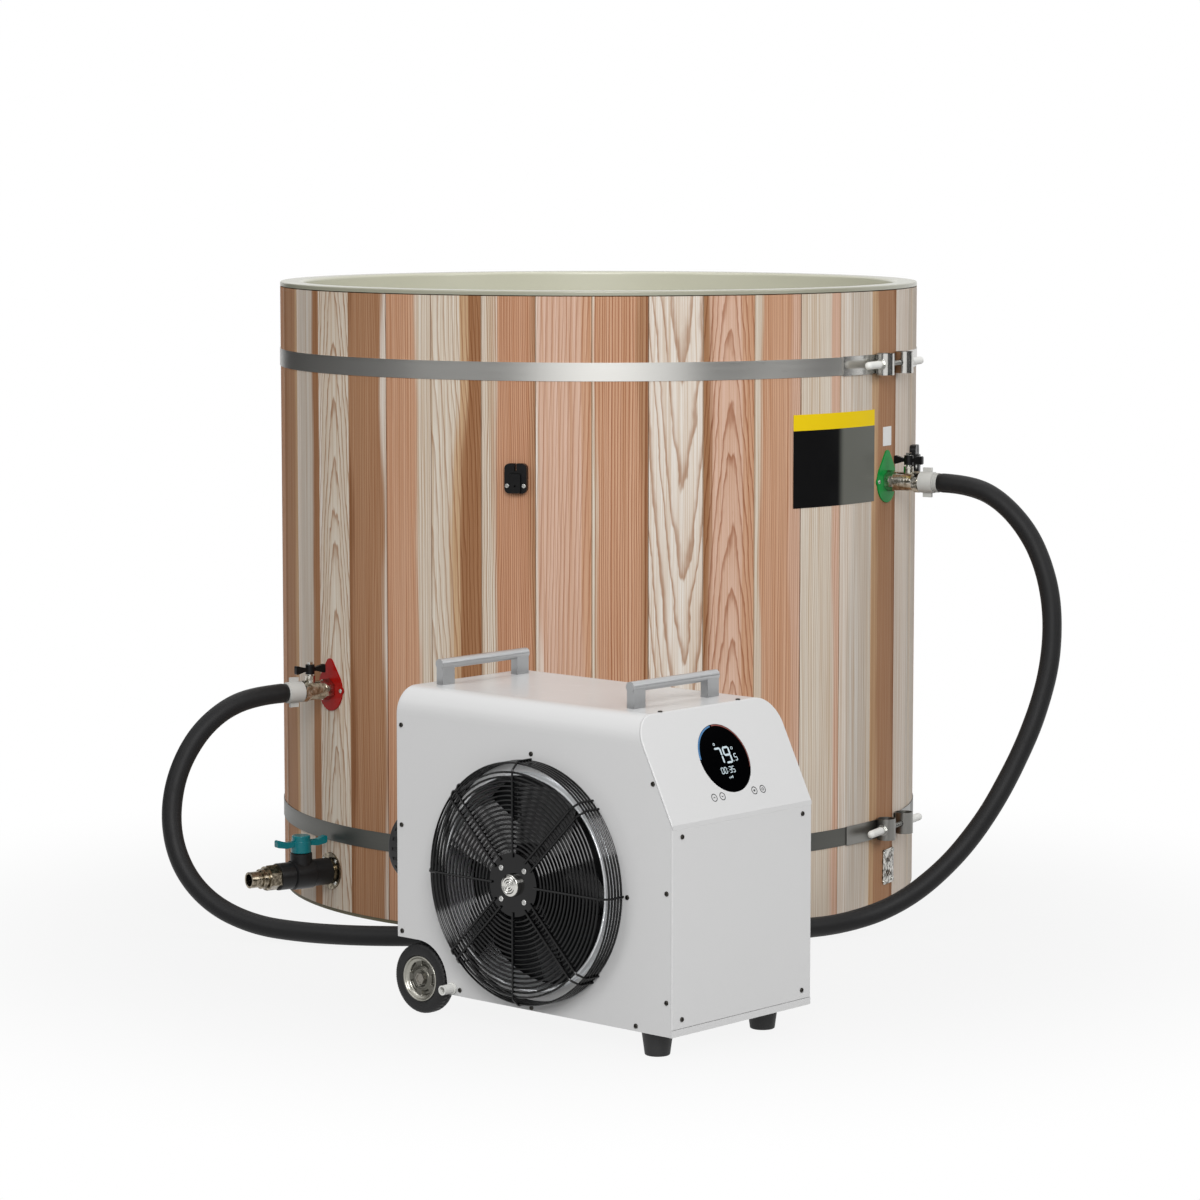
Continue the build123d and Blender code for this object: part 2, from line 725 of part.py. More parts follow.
def latch_receiver(index):
    """A block with a slot for the lid's strap and a raised pad below it."""
    azimuth = latch_azimuth(index)
    outline = RectangleRounded(LATCH_WIDTH, LATCH_LENGTH, LATCH_ROUND)
    plane = Plane((TUB_RADIUS - LATCH_BASE / 2, 0, 0), x_dir=(0, 1, 0), z_dir=(1, 0, 0))
    front = WALL_FACE + LATCH_BASE
    body = extrude(plane * outline, amount=front - plane.origin.X)
    pad_plane = Plane((front, 0, 0), x_dir=(0, 1, 0), z_dir=(1, 0, 0))
    pad_middle = -(LATCH_LENGTH - LATCH_PAD_LENGTH) / 2
    pad_width = LATCH_SCREW_SPREAD - 2 * SCREW_HEAD_RADIUS - 2 * LID_GAP
    pad_outline = Pos(0, pad_middle) * RectangleRounded(pad_width, LATCH_PAD_LENGTH, LATCH_ROUND / 2)
    pad = extrude(pad_plane * pad_outline, amount=LATCH_PAD, taper=12)
    upper = LATCH_LENGTH / 2 - LATCH_SLOT_DEPTH
    half_slot = LATCH_SLOT_WIDTH / 2
    slot = block((0, front + 1), (-half_slot, half_slot), (upper, LATCH_LENGTH))
    hole = Pos(0, 0, -LATCH_SCREW_DROP) * rod(LATCH_HOLE, front - LATCH_BASE / 2, front + LATCH_PAD + 1)
    cutters = screw_clearances(azimuth, LATCH_HEIGHT, LATCH_LENGTH)
    wall = upright(WALL_FACE, -LATCH_LENGTH, LATCH_LENGTH)
    receiver = (body + pad) - slot - hole - wall - cutters
    return around(azimuth, LATCH_HEIGHT) * receiver


def latch_receivers():
    """The receivers that the lid's straps clip into."""
    return group([latch_receiver(index) for index in range(LATCH_COUNT)])


def label_panels():
    """Bare self-adhesive labels: a two-part panel and a small sticker."""
    face = WALL_FACE + LABEL_THICKNESS
    lower = band(WALL_FACE, face, LABEL_BOTTOM, LABEL_BAND, LABEL_START, LABEL_END)
    upper = band(WALL_FACE, face, LABEL_BAND, LABEL_TOP, LABEL_START, LABEL_END)
    sticker = band(WALL_FACE, face, STICKER_BOTTOM, STICKER_TOP, STICKER_START, STICKER_END)
    return group([lower, upper, sticker])


def vent_plate():
    """A small grille over a breathing hole in the wall, with slanting slots on each side."""
    outline = RectangleRounded(VENT_WIDTH, VENT_LENGTH, VENT_SCREW_INSET)
    plate = bent_sheet(outline, WALL_FACE, VENT_THICKNESS)
    cutters = screw_clearances(VENT_AZIMUTH, VENT_HEIGHT, VENT_LENGTH)
    for rise, lean in ((-1, 45), (1, -45)):
        for step in (-1, 0, 1):
            middle = (step * VENT_SLOT_STEP, rise * VENT_LENGTH / 5)
            slot = Box(4 * VENT_THICKNESS + VENT_SLOT, VENT_SLOT, VENT_SLOT_LENGTH)
            cutters.append(Pos(WALL_FACE, *middle) * Rot(lean, 0, 0) * slot)
    return around(VENT_AZIMUTH, VENT_HEIGHT) * (plate - cutters)


# Fittings

def wall_fitting(socket_start):
    """A threaded shank with a flange inside the well, bored for the water."""
    shank_end = socket_start + SOCKET_DEPTH - LID_GAP
    inner = WELL_RADIUS - SEAT_GAP - INNER_FLANGE_THICKNESS
    flange = bent_sheet(Circle(INNER_FLANGE_RADIUS), inner, INNER_FLANGE_THICKNESS)
    shank = rod(SHANK_RADIUS, inner + INNER_FLANGE_THICKNESS / 2, shank_end)
    return (flange + shank) - rod(SHANK_BORE, inner - 10, shank_end + 1)


def lobed_plate(azimuth, height):
    """Enamelled plate behind a service valve: a disc that rises to a small round lobe."""
    lean = math.asin((PLATE_RADIUS - PLATE_LOBE_RADIUS) / PLATE_LOBE_HEIGHT)
    low = (PLATE_RADIUS * math.cos(lean), PLATE_RADIUS * math.sin(lean))
    high = (PLATE_LOBE_RADIUS * math.cos(lean), PLATE_LOBE_HEIGHT + PLATE_LOBE_RADIUS * math.sin(lean))
    neck = make_face(Polyline(low, high, (-high[0], high[1]), (-low[0], low[1]), close=True))
    outline = Circle(PLATE_RADIUS) + Pos(0, PLATE_LOBE_HEIGHT) * Circle(PLATE_LOBE_RADIUS) + neck
    for side in (-1, 1):
        outline += Pos(side * PLATE_EAR_SPREAD / 2, 0) * Circle(PLATE_EAR_RADIUS)
    plate = bent_sheet(outline, WALL_FACE, PLATE_THICKNESS)
    bore = rod(SHANK_RADIUS + BORE_GAP, 0, PLATE_FACE + 10)
    return around(azimuth, height) * (plate - bore - screw_clearances(azimuth, height, PLATE_EAR_SPREAD))


def service_valve_body(length):
    """Plated brass body of a hose's ball valve, from the plate outwards."""
    end = VALVE_START + length
    thread_start = end - VALVE_THREAD_LENGTH
    nut_start = thread_start - 0.7 * VALVE_HEX_LENGTH
    body = hex_rod(VALVE_HEX, VALVE_START, VALVE_START + VALVE_HEX_LENGTH)
    body += rod(VALVE_RADIUS, VALVE_START + VALVE_HEX_LENGTH, nut_start)
    body += hex_rod(VALVE_HEX, nut_start, thread_start)
    body += rod(VALVE_THREAD_RADIUS, thread_start, end)
    body += Pos(STEM_RADIAL, 0, 0) * upright(NECK_RADIUS, 0, NECK_TOP)
    body -= rod(SHANK_RADIUS + SHAFT_GAP, VALVE_START - 1, VALVE_START + SOCKET_DEPTH)
    body -= rod(SHANK_BORE, VALVE_START, end + 1)
    body -= Pos(STEM_RADIAL, 0, 0) * Sphere(BALL_RADIUS + BALL_GAP)
    body -= Pos(STEM_RADIAL, 0, 0) * upright(STEM_RADIUS + SHAFT_GAP, 0, NECK_TOP + 1)
    return body


def service_ball_stem():
    """Ball with its stem, and the nut that keeps the handle on."""
    stem_top = HANDLE_HEIGHT + HANDLE_TIP / 2 + HANDLE_NUT_HEIGHT
    ball = Sphere(BALL_RADIUS) + upright(STEM_RADIUS, 0, stem_top)
    ball -= rod(SHANK_BORE, -BALL_RADIUS - 1, BALL_RADIUS + 1)
    nut_bottom = HANDLE_HEIGHT + HANDLE_TIP / 2 + SHAFT_GAP
    nut = hex_upright(HANDLE_NUT_ACROSS, nut_bottom, nut_bottom + HANDLE_NUT_HEIGHT)
    nut -= upright(STEM_RADIUS + SHAFT_GAP / 2, 0, 2 * HANDLE_HEIGHT)
    return Pos(STEM_RADIAL, 0, 0) * group([ball, nut])


def butterfly_handle(length):
    """Two-winged handle whose wings lie along the pipe while the valve is open."""
    half = length / 2
    tip = HANDLE_TIP / 2
    waist = HANDLE_WAIST / 2
    bend = 0.35 * half
    points = [(-half, -tip), (-bend, -waist), (bend, -waist), (half, -tip),
              (half, tip), (bend, waist), (-bend, waist), (-half, tip)]
    outline = make_face(FilletPolyline(*points, radius=[2.5, 6, 6, 2.5, 2.5, 6, 6, 2.5], close=True))
    wings = extrude(Plane.XZ * outline, amount=HANDLE_THICKNESS / 2, both=True)
    hub = upright(HANDLE_HUB_RADIUS, -tip, tip)
    handle = wings + hub - upright(STEM_RADIUS + SHAFT_GAP, -HANDLE_TIP, HANDLE_TIP)
    return Pos(STEM_RADIAL, 0, HANDLE_HEIGHT) * handle


def union_start(valve_length):
    """Where the union ring begins over the valve's outer thread."""
    return VALVE_START + valve_length - UNION_OVERLAP


def hose_union(valve_length, ring_length, collar_length, ribbed):
    """Lugged ring and hose tail that hold a hose to its valve."""
    start = union_start(valve_length)
    ring_end = start + ring_length
    end = ring_end + collar_length
    middle = start + ring_length / 2
    ring = rod(UNION_RADIUS, start, ring_end)
    half_thick = UNION_LUG_THICKNESS / 2
    ring += block((middle - UNION_LUG_WIDTH / 2, middle + UNION_LUG_WIDTH / 2),
                  (-half_thick, half_thick), (-UNION_LUG_TOP, UNION_LUG_TOP))
    ring += rod(COLLAR_RADIUS, ring_end, end)
    ring -= rod(VALVE_THREAD_RADIUS + SHAFT_GAP, start - 1, start + UNION_OVERLAP + LID_GAP)
    ring -= rod(SHANK_BORE, start - 1, end + 1)
    if ribbed:
        pitch = collar_length / RIB_COUNT
        for index in range(RIB_COUNT):
            groove = ring_end + index * pitch
            ring -= rod(COLLAR_RADIUS + 1, groove, groove + pitch / 2) - rod(COLLAR_RADIUS - RIB_DEPTH,
                                                                             groove, groove + pitch / 2)
    return ring


def hose_start(valve_length, ring_length, collar_length):
    """Distance from the tub's axis to the face that a hose meets."""
    return union_start(valve_length) + ring_length + collar_length


# Drain

def drain_flange():
    """Steel flange on the wall round the drain's shank."""
    flange = bent_sheet(Circle(DRAIN_FLANGE_RADIUS), WALL_FACE, DRAIN_FLANGE_THICKNESS)
    boss = rod(DRAIN_BOSS_RADIUS, WALL_FACE + DRAIN_FLANGE_THICKNESS / 2, DRAIN_FACE)
    bore = rod(SHANK_RADIUS + BORE_GAP, 0, DRAIN_FACE + 1)
    cutters = screw_clearances(DRAIN_AZIMUTH, DRAIN_HEIGHT, DRAIN_FLANGE_RADIUS)
    return around(DRAIN_AZIMUTH, DRAIN_HEIGHT) * (flange + boss - bore - cutters)


def drain_valve_body():
    """Black plastic body of the drain's ball valve, with its union nut and stem collar."""
    bulge_start = DRAIN_STEM_RADIAL - DRAIN_BULGE_LENGTH / 2
    bulge_end = DRAIN_STEM_RADIAL + DRAIN_BULGE_LENGTH / 2
    nut_start = DRAIN_END - DRAIN_NUT_LENGTH
    step = DRAIN_BULGE_RADIUS - DRAIN_BODY_RADIUS
    points = [(0, DRAIN_START), (DRAIN_BODY_RADIUS, DRAIN_START), (DRAIN_BODY_RADIUS, bulge_start),
              (DRAIN_BULGE_RADIUS, bulge_start + step), (DRAIN_BULGE_RADIUS, bulge_end - step),
              (DRAIN_BODY_RADIUS - step, bulge_end), (DRAIN_BODY_RADIUS - step, nut_start),
              (DRAIN_BODY_RADIUS, nut_start), (DRAIN_BODY_RADIUS, DRAIN_END), (0, DRAIN_END)]
    body = Rot(0, 90, 0) * turned(points, [0, 1, 0, 0, 0, 0, 0, 1, 1, 0])
    body += Pos(DRAIN_STEM_RADIAL, 0, 0) * upright(DRAIN_COLLAR_RADIUS, 0, DRAIN_COLLAR_TOP)
    body -= rod(SHANK_RADIUS + SHAFT_GAP, DRAIN_START - 1, DRAIN_START + SOCKET_DEPTH)
    body -= rod(NIPPLE_BORE, DRAIN_START, DRAIN_END + 1)
    body -= rod(NIPPLE_THREAD_RADIUS + SHAFT_GAP, DRAIN_END - NIPPLE_SPIGOT - LID_GAP, DRAIN_END + 1)
    body -= Pos(DRAIN_STEM_RADIAL, 0, 0) * Sphere(DRAIN_BALL_RADIUS + BALL_GAP)
    body -= Pos(DRAIN_STEM_RADIAL, 0, 0) * upright(DRAIN_STEM_RADIUS + SHAFT_GAP, 0, DRAIN_COLLAR_TOP + 1)
    return body


def drain_ball_stem():
    """The drain's ball and stem."""
    ball = Sphere(DRAIN_BALL_RADIUS) + upright(DRAIN_STEM_RADIUS, 0, DRAIN_HUB_TOP)
    ball -= rod(NIPPLE_BORE, -DRAIN_BALL_RADIUS - 1, DRAIN_BALL_RADIUS + 1)
    return Pos(DRAIN_STEM_RADIAL, 0, 0) * ball


def drain_handle():
    """Moulded handle of the drain: a capped hub with two wings that rise to their tips."""
    half = DRAIN_WING_LENGTH / 2
    root = 0.8 * DRAIN_HUB_RADIUS
    points = [(-half, DRAIN_WING_LOW + 3), (-0.62 * half, DRAIN_WING_LOW), (-root, DRAIN_WING_ROOT),
              (root, DRAIN_WING_ROOT), (0.62 * half, DRAIN_WING_LOW), (half, DRAIN_WING_LOW + 3),
              (half, DRAIN_WING_HIGH), (0.62 * half, DRAIN_HUB_TOP), (root, DRAIN_HUB_TOP),
              (-root, DRAIN_HUB_TOP), (-0.62 * half, DRAIN_HUB_TOP), (-half, DRAIN_WING_HIGH)]
    radii = [3, 6, 0, 0, 6, 3, 3, 8, 0, 0, 8, 3]
    outline = make_face(FilletPolyline(*points, radius=radii, close=True))
    wings = extrude(Plane.XZ * outline, amount=DRAIN_WING_THICKNESS / 2, both=True)
    hub = turned([(0, DRAIN_HUB_BOTTOM), (DRAIN_HUB_RADIUS, DRAIN_HUB_BOTTOM),
                  (DRAIN_HUB_RADIUS, DRAIN_HUB_TOP), (DRAIN_CAP_RADIUS, DRAIN_HUB_TOP),
                  (DRAIN_CAP_RADIUS, DRAIN_CAP_TOP), (0, DRAIN_CAP_TOP)], [0, 1, 1, 0, 2, 0])
    handle = wings + hub - upright(DRAIN_STEM_RADIUS + SHAFT_GAP, 0, DRAIN_HUB_TOP + LID_GAP)
    return Pos(DRAIN_STEM_RADIAL, 0, 0) * handle


def drain_nipple():
    """Steel hexagon nipple that ends in the drain's open male thread."""
    start = DRAIN_END + SHAFT_GAP
    hex_end = start + NIPPLE_HEX_LENGTH
    ring_middle = start + NIPPLE_HEX_LENGTH * 0.6
    nipple = rod(NIPPLE_THREAD_RADIUS, DRAIN_END - NIPPLE_SPIGOT, start)
    nipple += hex_rod(NIPPLE_HEX, start, ring_middle) + rod(NIPPLE_RING_RADIUS, ring_middle,
                                                           ring_middle + NIPPLE_RING_WIDTH)
    nipple += rod(DRAIN_BOSS_RADIUS * 0.85, ring_middle + NIPPLE_RING_WIDTH, hex_end)
    nipple += rod(NIPPLE_THREAD_RADIUS, hex_end, hex_end + NIPPLE_THREAD_LENGTH)
    return nipple - rod(NIPPLE_BORE, DRAIN_END - NIPPLE_SPIGOT - 1, hex_end + NIPPLE_THREAD_LENGTH + 1)


# Hoses

def wall_point(azimuth, radius, height):
    """A point this far from the tub's axis."""
    turn = math.radians(azimuth)
    return radius * math.sin(turn), -radius * math.cos(turn), height


def chiller_point(x, y, z):
    """A point given in the chiller's own frame."""
    turn = math.radians(CHILLER_TURN)
    return (CHILLER_X + x * math.cos(turn) - y * math.sin(turn),
            CHILLER_Y + x * math.sin(turn) + y * math.cos(turn), z)


def hose(name, points):
    """A hose of straight runs and tangent arcs through these points, with its radii printed."""
    route = [Vector(*point) for point in points]
    radii = []
    for before, here, after in zip(route, route[1:], route[2:]):
        first = here - before
        second = after - here
        half_turn = math.radians(first.get_angle(second)) / 2
        radii.append(0.45 * min(first.length, second.length) / math.tan(half_turn))
    path = FilletPolyline(*route, radius=radii)
    section = Plane(origin=path @ 0, z_dir=path % 0) * Circle(HOSE_RADIUS)
    piece = sweep(section, path=path)
    share = piece.volume / (math.pi * HOSE_RADIUS ** 2 * path.length)
    print(name, "length", round(path.length), "volume share", round(share, 4),
          "radii", [round(radius) for radius in radii])
    return piece


def outlet_hose():
    """From the tub's outlet down to the floor and along it to the chiller."""
    start = hose_start(OUTLET_VALVE_LENGTH, OUTLET_UNION_LENGTH, OUTLET_COLLAR)
    tip = CASE_DEPTH + PORT_REACH
    points = [wall_point(OUTLET_AZIMUTH, start, OUTLET_HEIGHT),
              wall_point(OUTLET_AZIMUTH, start + OUTLET_LEAD, OUTLET_HEIGHT),
              (-598, -422, 350), (-642, -447, 309), (-673, -468, 245), (-680, -488, 171),
              (-659, -508, 104), (-612, -528, 53), (-543, -550, 24), (-466, -574, 17),
              (-384, -600, 17), (-296, -606, 17), (-207, -594, 17), (-120, -571, 17),
              (-30, -574, 19), (46, -621, 30), (97, -700, 50), (109, -790, 70),
              chiller_point(OUTLET_PORT_X, tip + PORT_LEAD, PORT_Z),
              chiller_point(OUTLET_PORT_X, tip, PORT_Z)]
    return hose("outlet_hose", points)


def inlet_hose():
    """From the chiller along the floor and up to the tub's inlet."""
    start = hose_start(INLET_VALVE_LENGTH, INLET_UNION_LENGTH, INLET_COLLAR)
    tip = CASE_DEPTH + PORT_REACH
    points = [wall_point(INLET_AZIMUTH, start, INLET_HEIGHT),
              wall_point(INLET_AZIMUTH, start + INLET_LEAD, INLET_HEIGHT),
              (655, -359, 672), (701, -380, 611), (726, -398, 525), (724, -414, 428),
              (699, -430, 338), (660, -444, 252), (613, -459, 172), (553, -473, 101),
              (477, -488, 44), (390, -506, 17), (306, -550, 17), (249, -625, 17),
              (226, -716, 22), (221, -808, 44), (221.5, -898, 68),
              chiller_point(INLET_PORT_X, tip + PORT_LEAD, PORT_Z),
              chiller_point(INLET_PORT_X, tip, PORT_Z)]
    return hose("inlet_hose", points)


# Chiller casing

def casing_block(start, end, inset):
    """The casing's solid form between two places along its length, this far inside its skin."""
    top = CASE_TOP - inset
    far = CASE_DEPTH - inset
    corner = CASE_CORNER - inset
    bottom = CASE_BOTTOM - inset
    points = [(inset, bottom), (inset, top), (far, top), (far, bottom)]
    outline = make_face(FilletPolyline(*points, radius=[0, corner, corner, 0], close=True))
    plane = Plane((start, 0, 0), x_dir=(0, 1, 0), z_dir=(1, 0, 0))
    return extrude(plane * outline, amount=end - start)


def slope_plane():
    """Plane of the sloping face, at the middle of its top edge, X down the slope, Z outwards."""
    return Plane((SLOPE_X, CASE_DEPTH / 2, CASE_TOP), x_dir=(SLOPE_RUN, 0, -SLOPE_DROP),
                 z_dir=(SLOPE_DROP, 0, SLOPE_RUN))


def slope_slab(low, high):
    """All that lies between two heights above the sloping face."""
    reach = 3 * SLOPE_LENGTH
    return slope_plane() * (Pos(0, 0, low) * Box(reach, reach, high - low, align=BASE))


def arch_cutter(radius):
    """Space over the wheels: an arc about the axle, open towards the near end and the floor."""
    reach = CASE_DEPTH + 2
    arc = Pos(WHEEL_X, -1, AXLE_Z) * cross_rod(radius, 0, reach)
    near = block((-100, WHEEL_X), (-1, reach - 1), (-1, AXLE_Z + radius))
    low = block((-100, WHEEL_X + radius), (-1, reach - 1), (-1, AXLE_Z))
    return arc + near + low


def eased(piece, face_axis):
    """Round the edges of the outermost face of a panel along this axis."""
    face = piece.faces().sort_by(face_axis)[-1]
    return fillet(face.edges(), PANEL_EDGE)


def front_screws():
    """Places of the screws in the fan face, along the length and up."""
    return [(10, 417), (10, 272), (10, 117), (125.5, 46), (461.5, 44.5), (492, 383), (517, 235), (517, 84.5)]


def top_screws():
    """Places of the screws in the top, along the length and the depth."""
    return [(8, 90), (8, CASE_DEPTH - 52), (450, 62), (450, CASE_DEPTH - 70)]


def end_screws():
    """Places of the screws in the display end, along the depth and up."""
    return [(20, 312), (CASE_DEPTH - 20, 312), (CASE_DEPTH - 20, 60), (20, 60)]


def screw_places():
    """A location for each screw of the casing, whose X axis points out of the sheet."""
    places = [Pos(x, 0, z) * Rot(0, 0, -90) for x, z in front_screws()]
    places += [Pos(x, y, CASE_TOP) * Rot(0, -90, 0) for x, y in top_screws()]
    places += [Pos(CASE_LENGTH, y, z) for y, z in end_screws()]
    for turn in range(0, 360, 90):
        x = FAN_X + FAN_SCREW_CIRCLE * math.cos(math.radians(turn))
        z = FAN_Z + FAN_SCREW_CIRCLE * math.sin(math.radians(turn))
        places.append(Pos(x, 0, z) * Rot(0, 0, -90))
    return places


def casing_holes():
    """Cutters for the casing's screws."""
    return [place * rod(SCREW_RADIUS + BORE_GAP, -4 * PANEL, 1) for place in screw_places()]


def fan_ring():
    """Sheet ring round the fan: a duct inside the casing and a collar with a rolled lip outside."""
    outer = FAN_OPENING + SHEET
    ring_wall = cross_rod(outer, -FAN_COLLAR, FAN_DUCT)
    ring_wall -= cross_rod(FAN_OPENING, -FAN_COLLAR - 1, FAN_DUCT + 1)
    lip = Pos(0, -FAN_COLLAR, 0) * Rot(90, 0, 0) * Torus(outer, FAN_LIP)
    return Pos(FAN_X, 0, FAN_Z) * (ring_wall + lip)


def wrap_shell():
    """One sheet bent over the fan face, the top and the back, with its openings and the fan's ring."""
    start = PANEL + SEAT_GAP
    end = CASE_LENGTH - PANEL - SEAT_GAP
    shell = casing_block(start, end, 0) - casing_block(start - 1, end + 1, SHEET)
    shell -= block((0, CASE_LENGTH), (SHEET, CASE_DEPTH - SHEET), (0, CASE_BOTTOM + SHEET))
    shell += fan_ring()
    back = (CASE_DEPTH / 2, CASE_DEPTH + 1)
    cutters = [slope_slab(-PANEL - SEAT_GAP, 2 * SLOPE_LENGTH), arch_cutter(ARCH_RADIUS)]
    cutters.append(Pos(FAN_X, 0, FAN_Z) * cross_rod(FAN_OPENING, -2 * FAN_COLLAR, 2 * FAN_DUCT))
    for x in (OUTLET_PORT_X, INLET_PORT_X):
        cutters.append(Pos(x, 0, PORT_Z) * cross_rod(SHANK_RADIUS + BORE_GAP, *back))
    cutters.append(Pos(GLAND_X, 0, GLAND_Z) * cross_rod(GLAND_RADIUS + BORE_GAP, *back))
    cutters.append(Pos(NOZZLE_X, 0, NOZZLE_Z) * cross_rod(NOZZLE_RADIUS + BORE_GAP, -1, 2 * SHEET))
    for column in (-1, 1):
        for row in range(BACK_SLOT_ROWS):
            middle = FAN_X + column * BACK_SLOT_SPREAD / 2
            sides = (middle - BACK_SLOT_LENGTH / 2, middle + BACK_SLOT_LENGTH / 2)
            height = BACK_SLOT_BOTTOM + row * BACK_SLOT_STEP
            cutters.append(block(sides, back, (height, height + BACK_SLOT_HEIGHT)))
    return shell - cutters - casing_holes()


def end_panel():
    """Flat panel under the display, with eased edges."""
    face = casing_block(CASE_LENGTH - PANEL, CASE_LENGTH, 0)
    face -= slope_slab(-PANEL - SEAT_GAP, 2 * SLOPE_LENGTH)
    strip_top = CASE_BOTTOM + PAN_STRIP + SEAT_GAP
    face -= block((0, 2 * CASE_LENGTH), (-1, CASE_DEPTH + 1), (0, strip_top))
    return eased(face, Axis.X) - casing_holes()


def display_panel():
    """Sloping panel with the round display's opening."""
    panel = casing_block(0, CASE_LENGTH, 0) & slope_slab(-PANEL, 0)
    panel = eased(panel, Axis((0, 0, 0), (SLOPE_DROP, 0, SLOPE_RUN)))
    sideways = DISPLAY_Y - CASE_DEPTH / 2
    opening = Pos(DISPLAY_DOWN, sideways, 0) * upright(DISPLAY_RADIUS + BORE_GAP, -2 * PANEL, 1)
    return panel - slope_plane() * opening - casing_holes()


def left_panel():
    """Panel at the wheels' end, with the filter's opening."""
    face = casing_block(0, PANEL, 0)
    face = eased(face, Axis((0, 0, 0), (-1, 0, 0)))
    face -= arch_cutter(ARCH_RADIUS)
    return face - Pos(0, FILTER_Y, FILTER_Z) * rod(FILTER_RADIUS + BORE_GAP, -1, PANEL + 1)


def base_pan():
    """Bottom tray: its floor steps up over the wheels and carries the axle's two ears."""
    inset = SHEET + SEAT_GAP
    start = PANEL + SEAT_GAP
    end = CASE_LENGTH - PANEL
    far = CASE_DEPTH - inset
    solid = block((start, end), (inset, far), (CASE_BOTTOM, AXLE_Z + ARCH_RADIUS + SHEET))
    room = block((start - 1, end + 1), (inset - 1, far + 1), (PAN_FLOOR_TOP, CASE_TOP))
    pan = solid - (room - arch_cutter(ARCH_RADIUS + SHEET))
    wall_top = CASE_BOTTOM + PAN_WALL
    for y in (inset, far - SHEET):
        pan += block((start, end), (y, y + SHEET), (CASE_BOTTOM, wall_top))
    pan += block((end, CASE_LENGTH), (0, CASE_DEPTH), (CASE_BOTTOM, CASE_BOTTOM + PAN_STRIP))
    pan += block((end - 2 * SHEET, end + SHEET), (inset, far), (CASE_BOTTOM, PAN_FLOOR_TOP))
    pan -= arch_cutter(ARCH_RADIUS)
    ear_gap = WHEEL_WIDTH + PANEL
    for y in (ear_gap, CASE_DEPTH - ear_gap - EAR_THICKNESS):
        ear = block((WHEEL_X - EAR_WIDTH / 2, WHEEL_X + EAR_WIDTH / 2), (y, y + EAR_THICKNESS),
                    (AXLE_Z, AXLE_Z + ARCH_RADIUS + SHEET / 2))
        ear += Pos(WHEEL_X, y, AXLE_Z) * cross_rod(EAR_WIDTH / 2, 0, EAR_THICKNESS)
        pan += ear
    pan -= Pos(WHEEL_X, 0, AXLE_Z) * cross_rod(AXLE_RADIUS + SHAFT_GAP, -1, CASE_DEPTH + 1)
    pan -= Pos(NOZZLE_X, 0, NOZZLE_Z) * cross_rod(NOZZLE_RADIUS + BORE_GAP, -1, CASE_DEPTH / 8)
    return pan - casing_holes()


def display_glass():
    """Round black glass in the sloping panel."""
    sideways = DISPLAY_Y - CASE_DEPTH / 2
    glass = upright(DISPLAY_RADIUS, -PANEL, -GLASS_RECESS)
    return slope_plane() * Pos(DISPLAY_DOWN, sideways, 0) * glass


def control_board():
    """Circuit board behind the display, on four stand-offs and a bezel ring."""
    sideways = DISPLAY_Y - CASE_DEPTH / 2
    top = -PANEL - SHAFT_GAP
    board = Pos(0, 0, -BOARD_DEPTH) * Box(BOARD_LENGTH, BOARD_WIDTH, BOARD_THICKNESS, align=BASE)
    for x in (-1, 1):
        for y in (-1, 1):
            spot = (x * (BOARD_LENGTH / 2 - STANDOFF_INSET), y * (BOARD_WIDTH / 2 - STANDOFF_INSET), 0)
            board += Pos(*spot) * upright(STANDOFF_RADIUS, -BOARD_DEPTH + BOARD_THICKNESS / 2, top)
    bezel = tube(BEZEL_OUTER, BEZEL_INNER, -BOARD_DEPTH + BOARD_THICKNESS / 2, top)
    return slope_plane() * Pos(DISPLAY_DOWN, sideways, 0) * (board + bezel)


# Fan

def fan_place():
    """The fan's centre on the fan face, with Z pointing out of the casing."""
    return Pos(FAN_X, 0, FAN_Z) * Rot(90, 0, 0)


def wire_section():
    """Cross section of a guard wire, with eight flats, which keep the mesh of so many wires light."""
    return RegularPolygon(GUARD_WIRE, GUARD_WIRE_SIDES, major_radius=False, rotation=180 / GUARD_WIRE_SIDES)


def ring(radius, height):
    """A wire bent into a ring round the guard's axis."""
    return revolve(Plane.XZ * Pos(radius, height) * wire_section(), Axis.Z)


def spoke(offset, foot):
    """A wire from the middle plate over the rim of the guard down to its side."""
    side = GUARD_RADIUS + 2 * GUARD_WIRE - WELD
    points = [(GUARD_PLATE_RADIUS - GUARD_PLATE_OVERLAP, offset, GUARD_HEIGHT),
              (GUARD_FACE_RADIUS + 2 * GUARD_WIRE, offset, GUARD_HEIGHT),
              (side, offset, GUARD_HEIGHT - 2 * GUARD_SHOULDER), (side, offset, foot)]
    path = FilletPolyline(*points, radius=[GUARD_SHOULDER, GUARD_SHOULDER])
    return sweep(Plane(origin=path @ 0, z_dir=path % 0) * wire_section(), path=path)


def guard_rings():
    """Concentric rings of the guard's face, and the stacked rings of its side."""
    face_height = GUARD_HEIGHT - 2 * GUARD_WIRE + WELD
    step = (GUARD_FACE_RADIUS - GUARD_FIRST_RING) / (GUARD_RINGS - 1)
    rings = []
    for index in range(GUARD_RINGS):
        rings.append(ring(GUARD_FIRST_RING + index * step, face_height))
    lowest = GUARD_WIRE + SEAT_GAP
    rise = (GUARD_HEIGHT - 2 * GUARD_SHOULDER - lowest) / (GUARD_SIDE_RINGS - 1)
    for index in range(GUARD_SIDE_RINGS):
        rings.append(ring(GUARD_RADIUS, lowest + index * rise))
    return rings


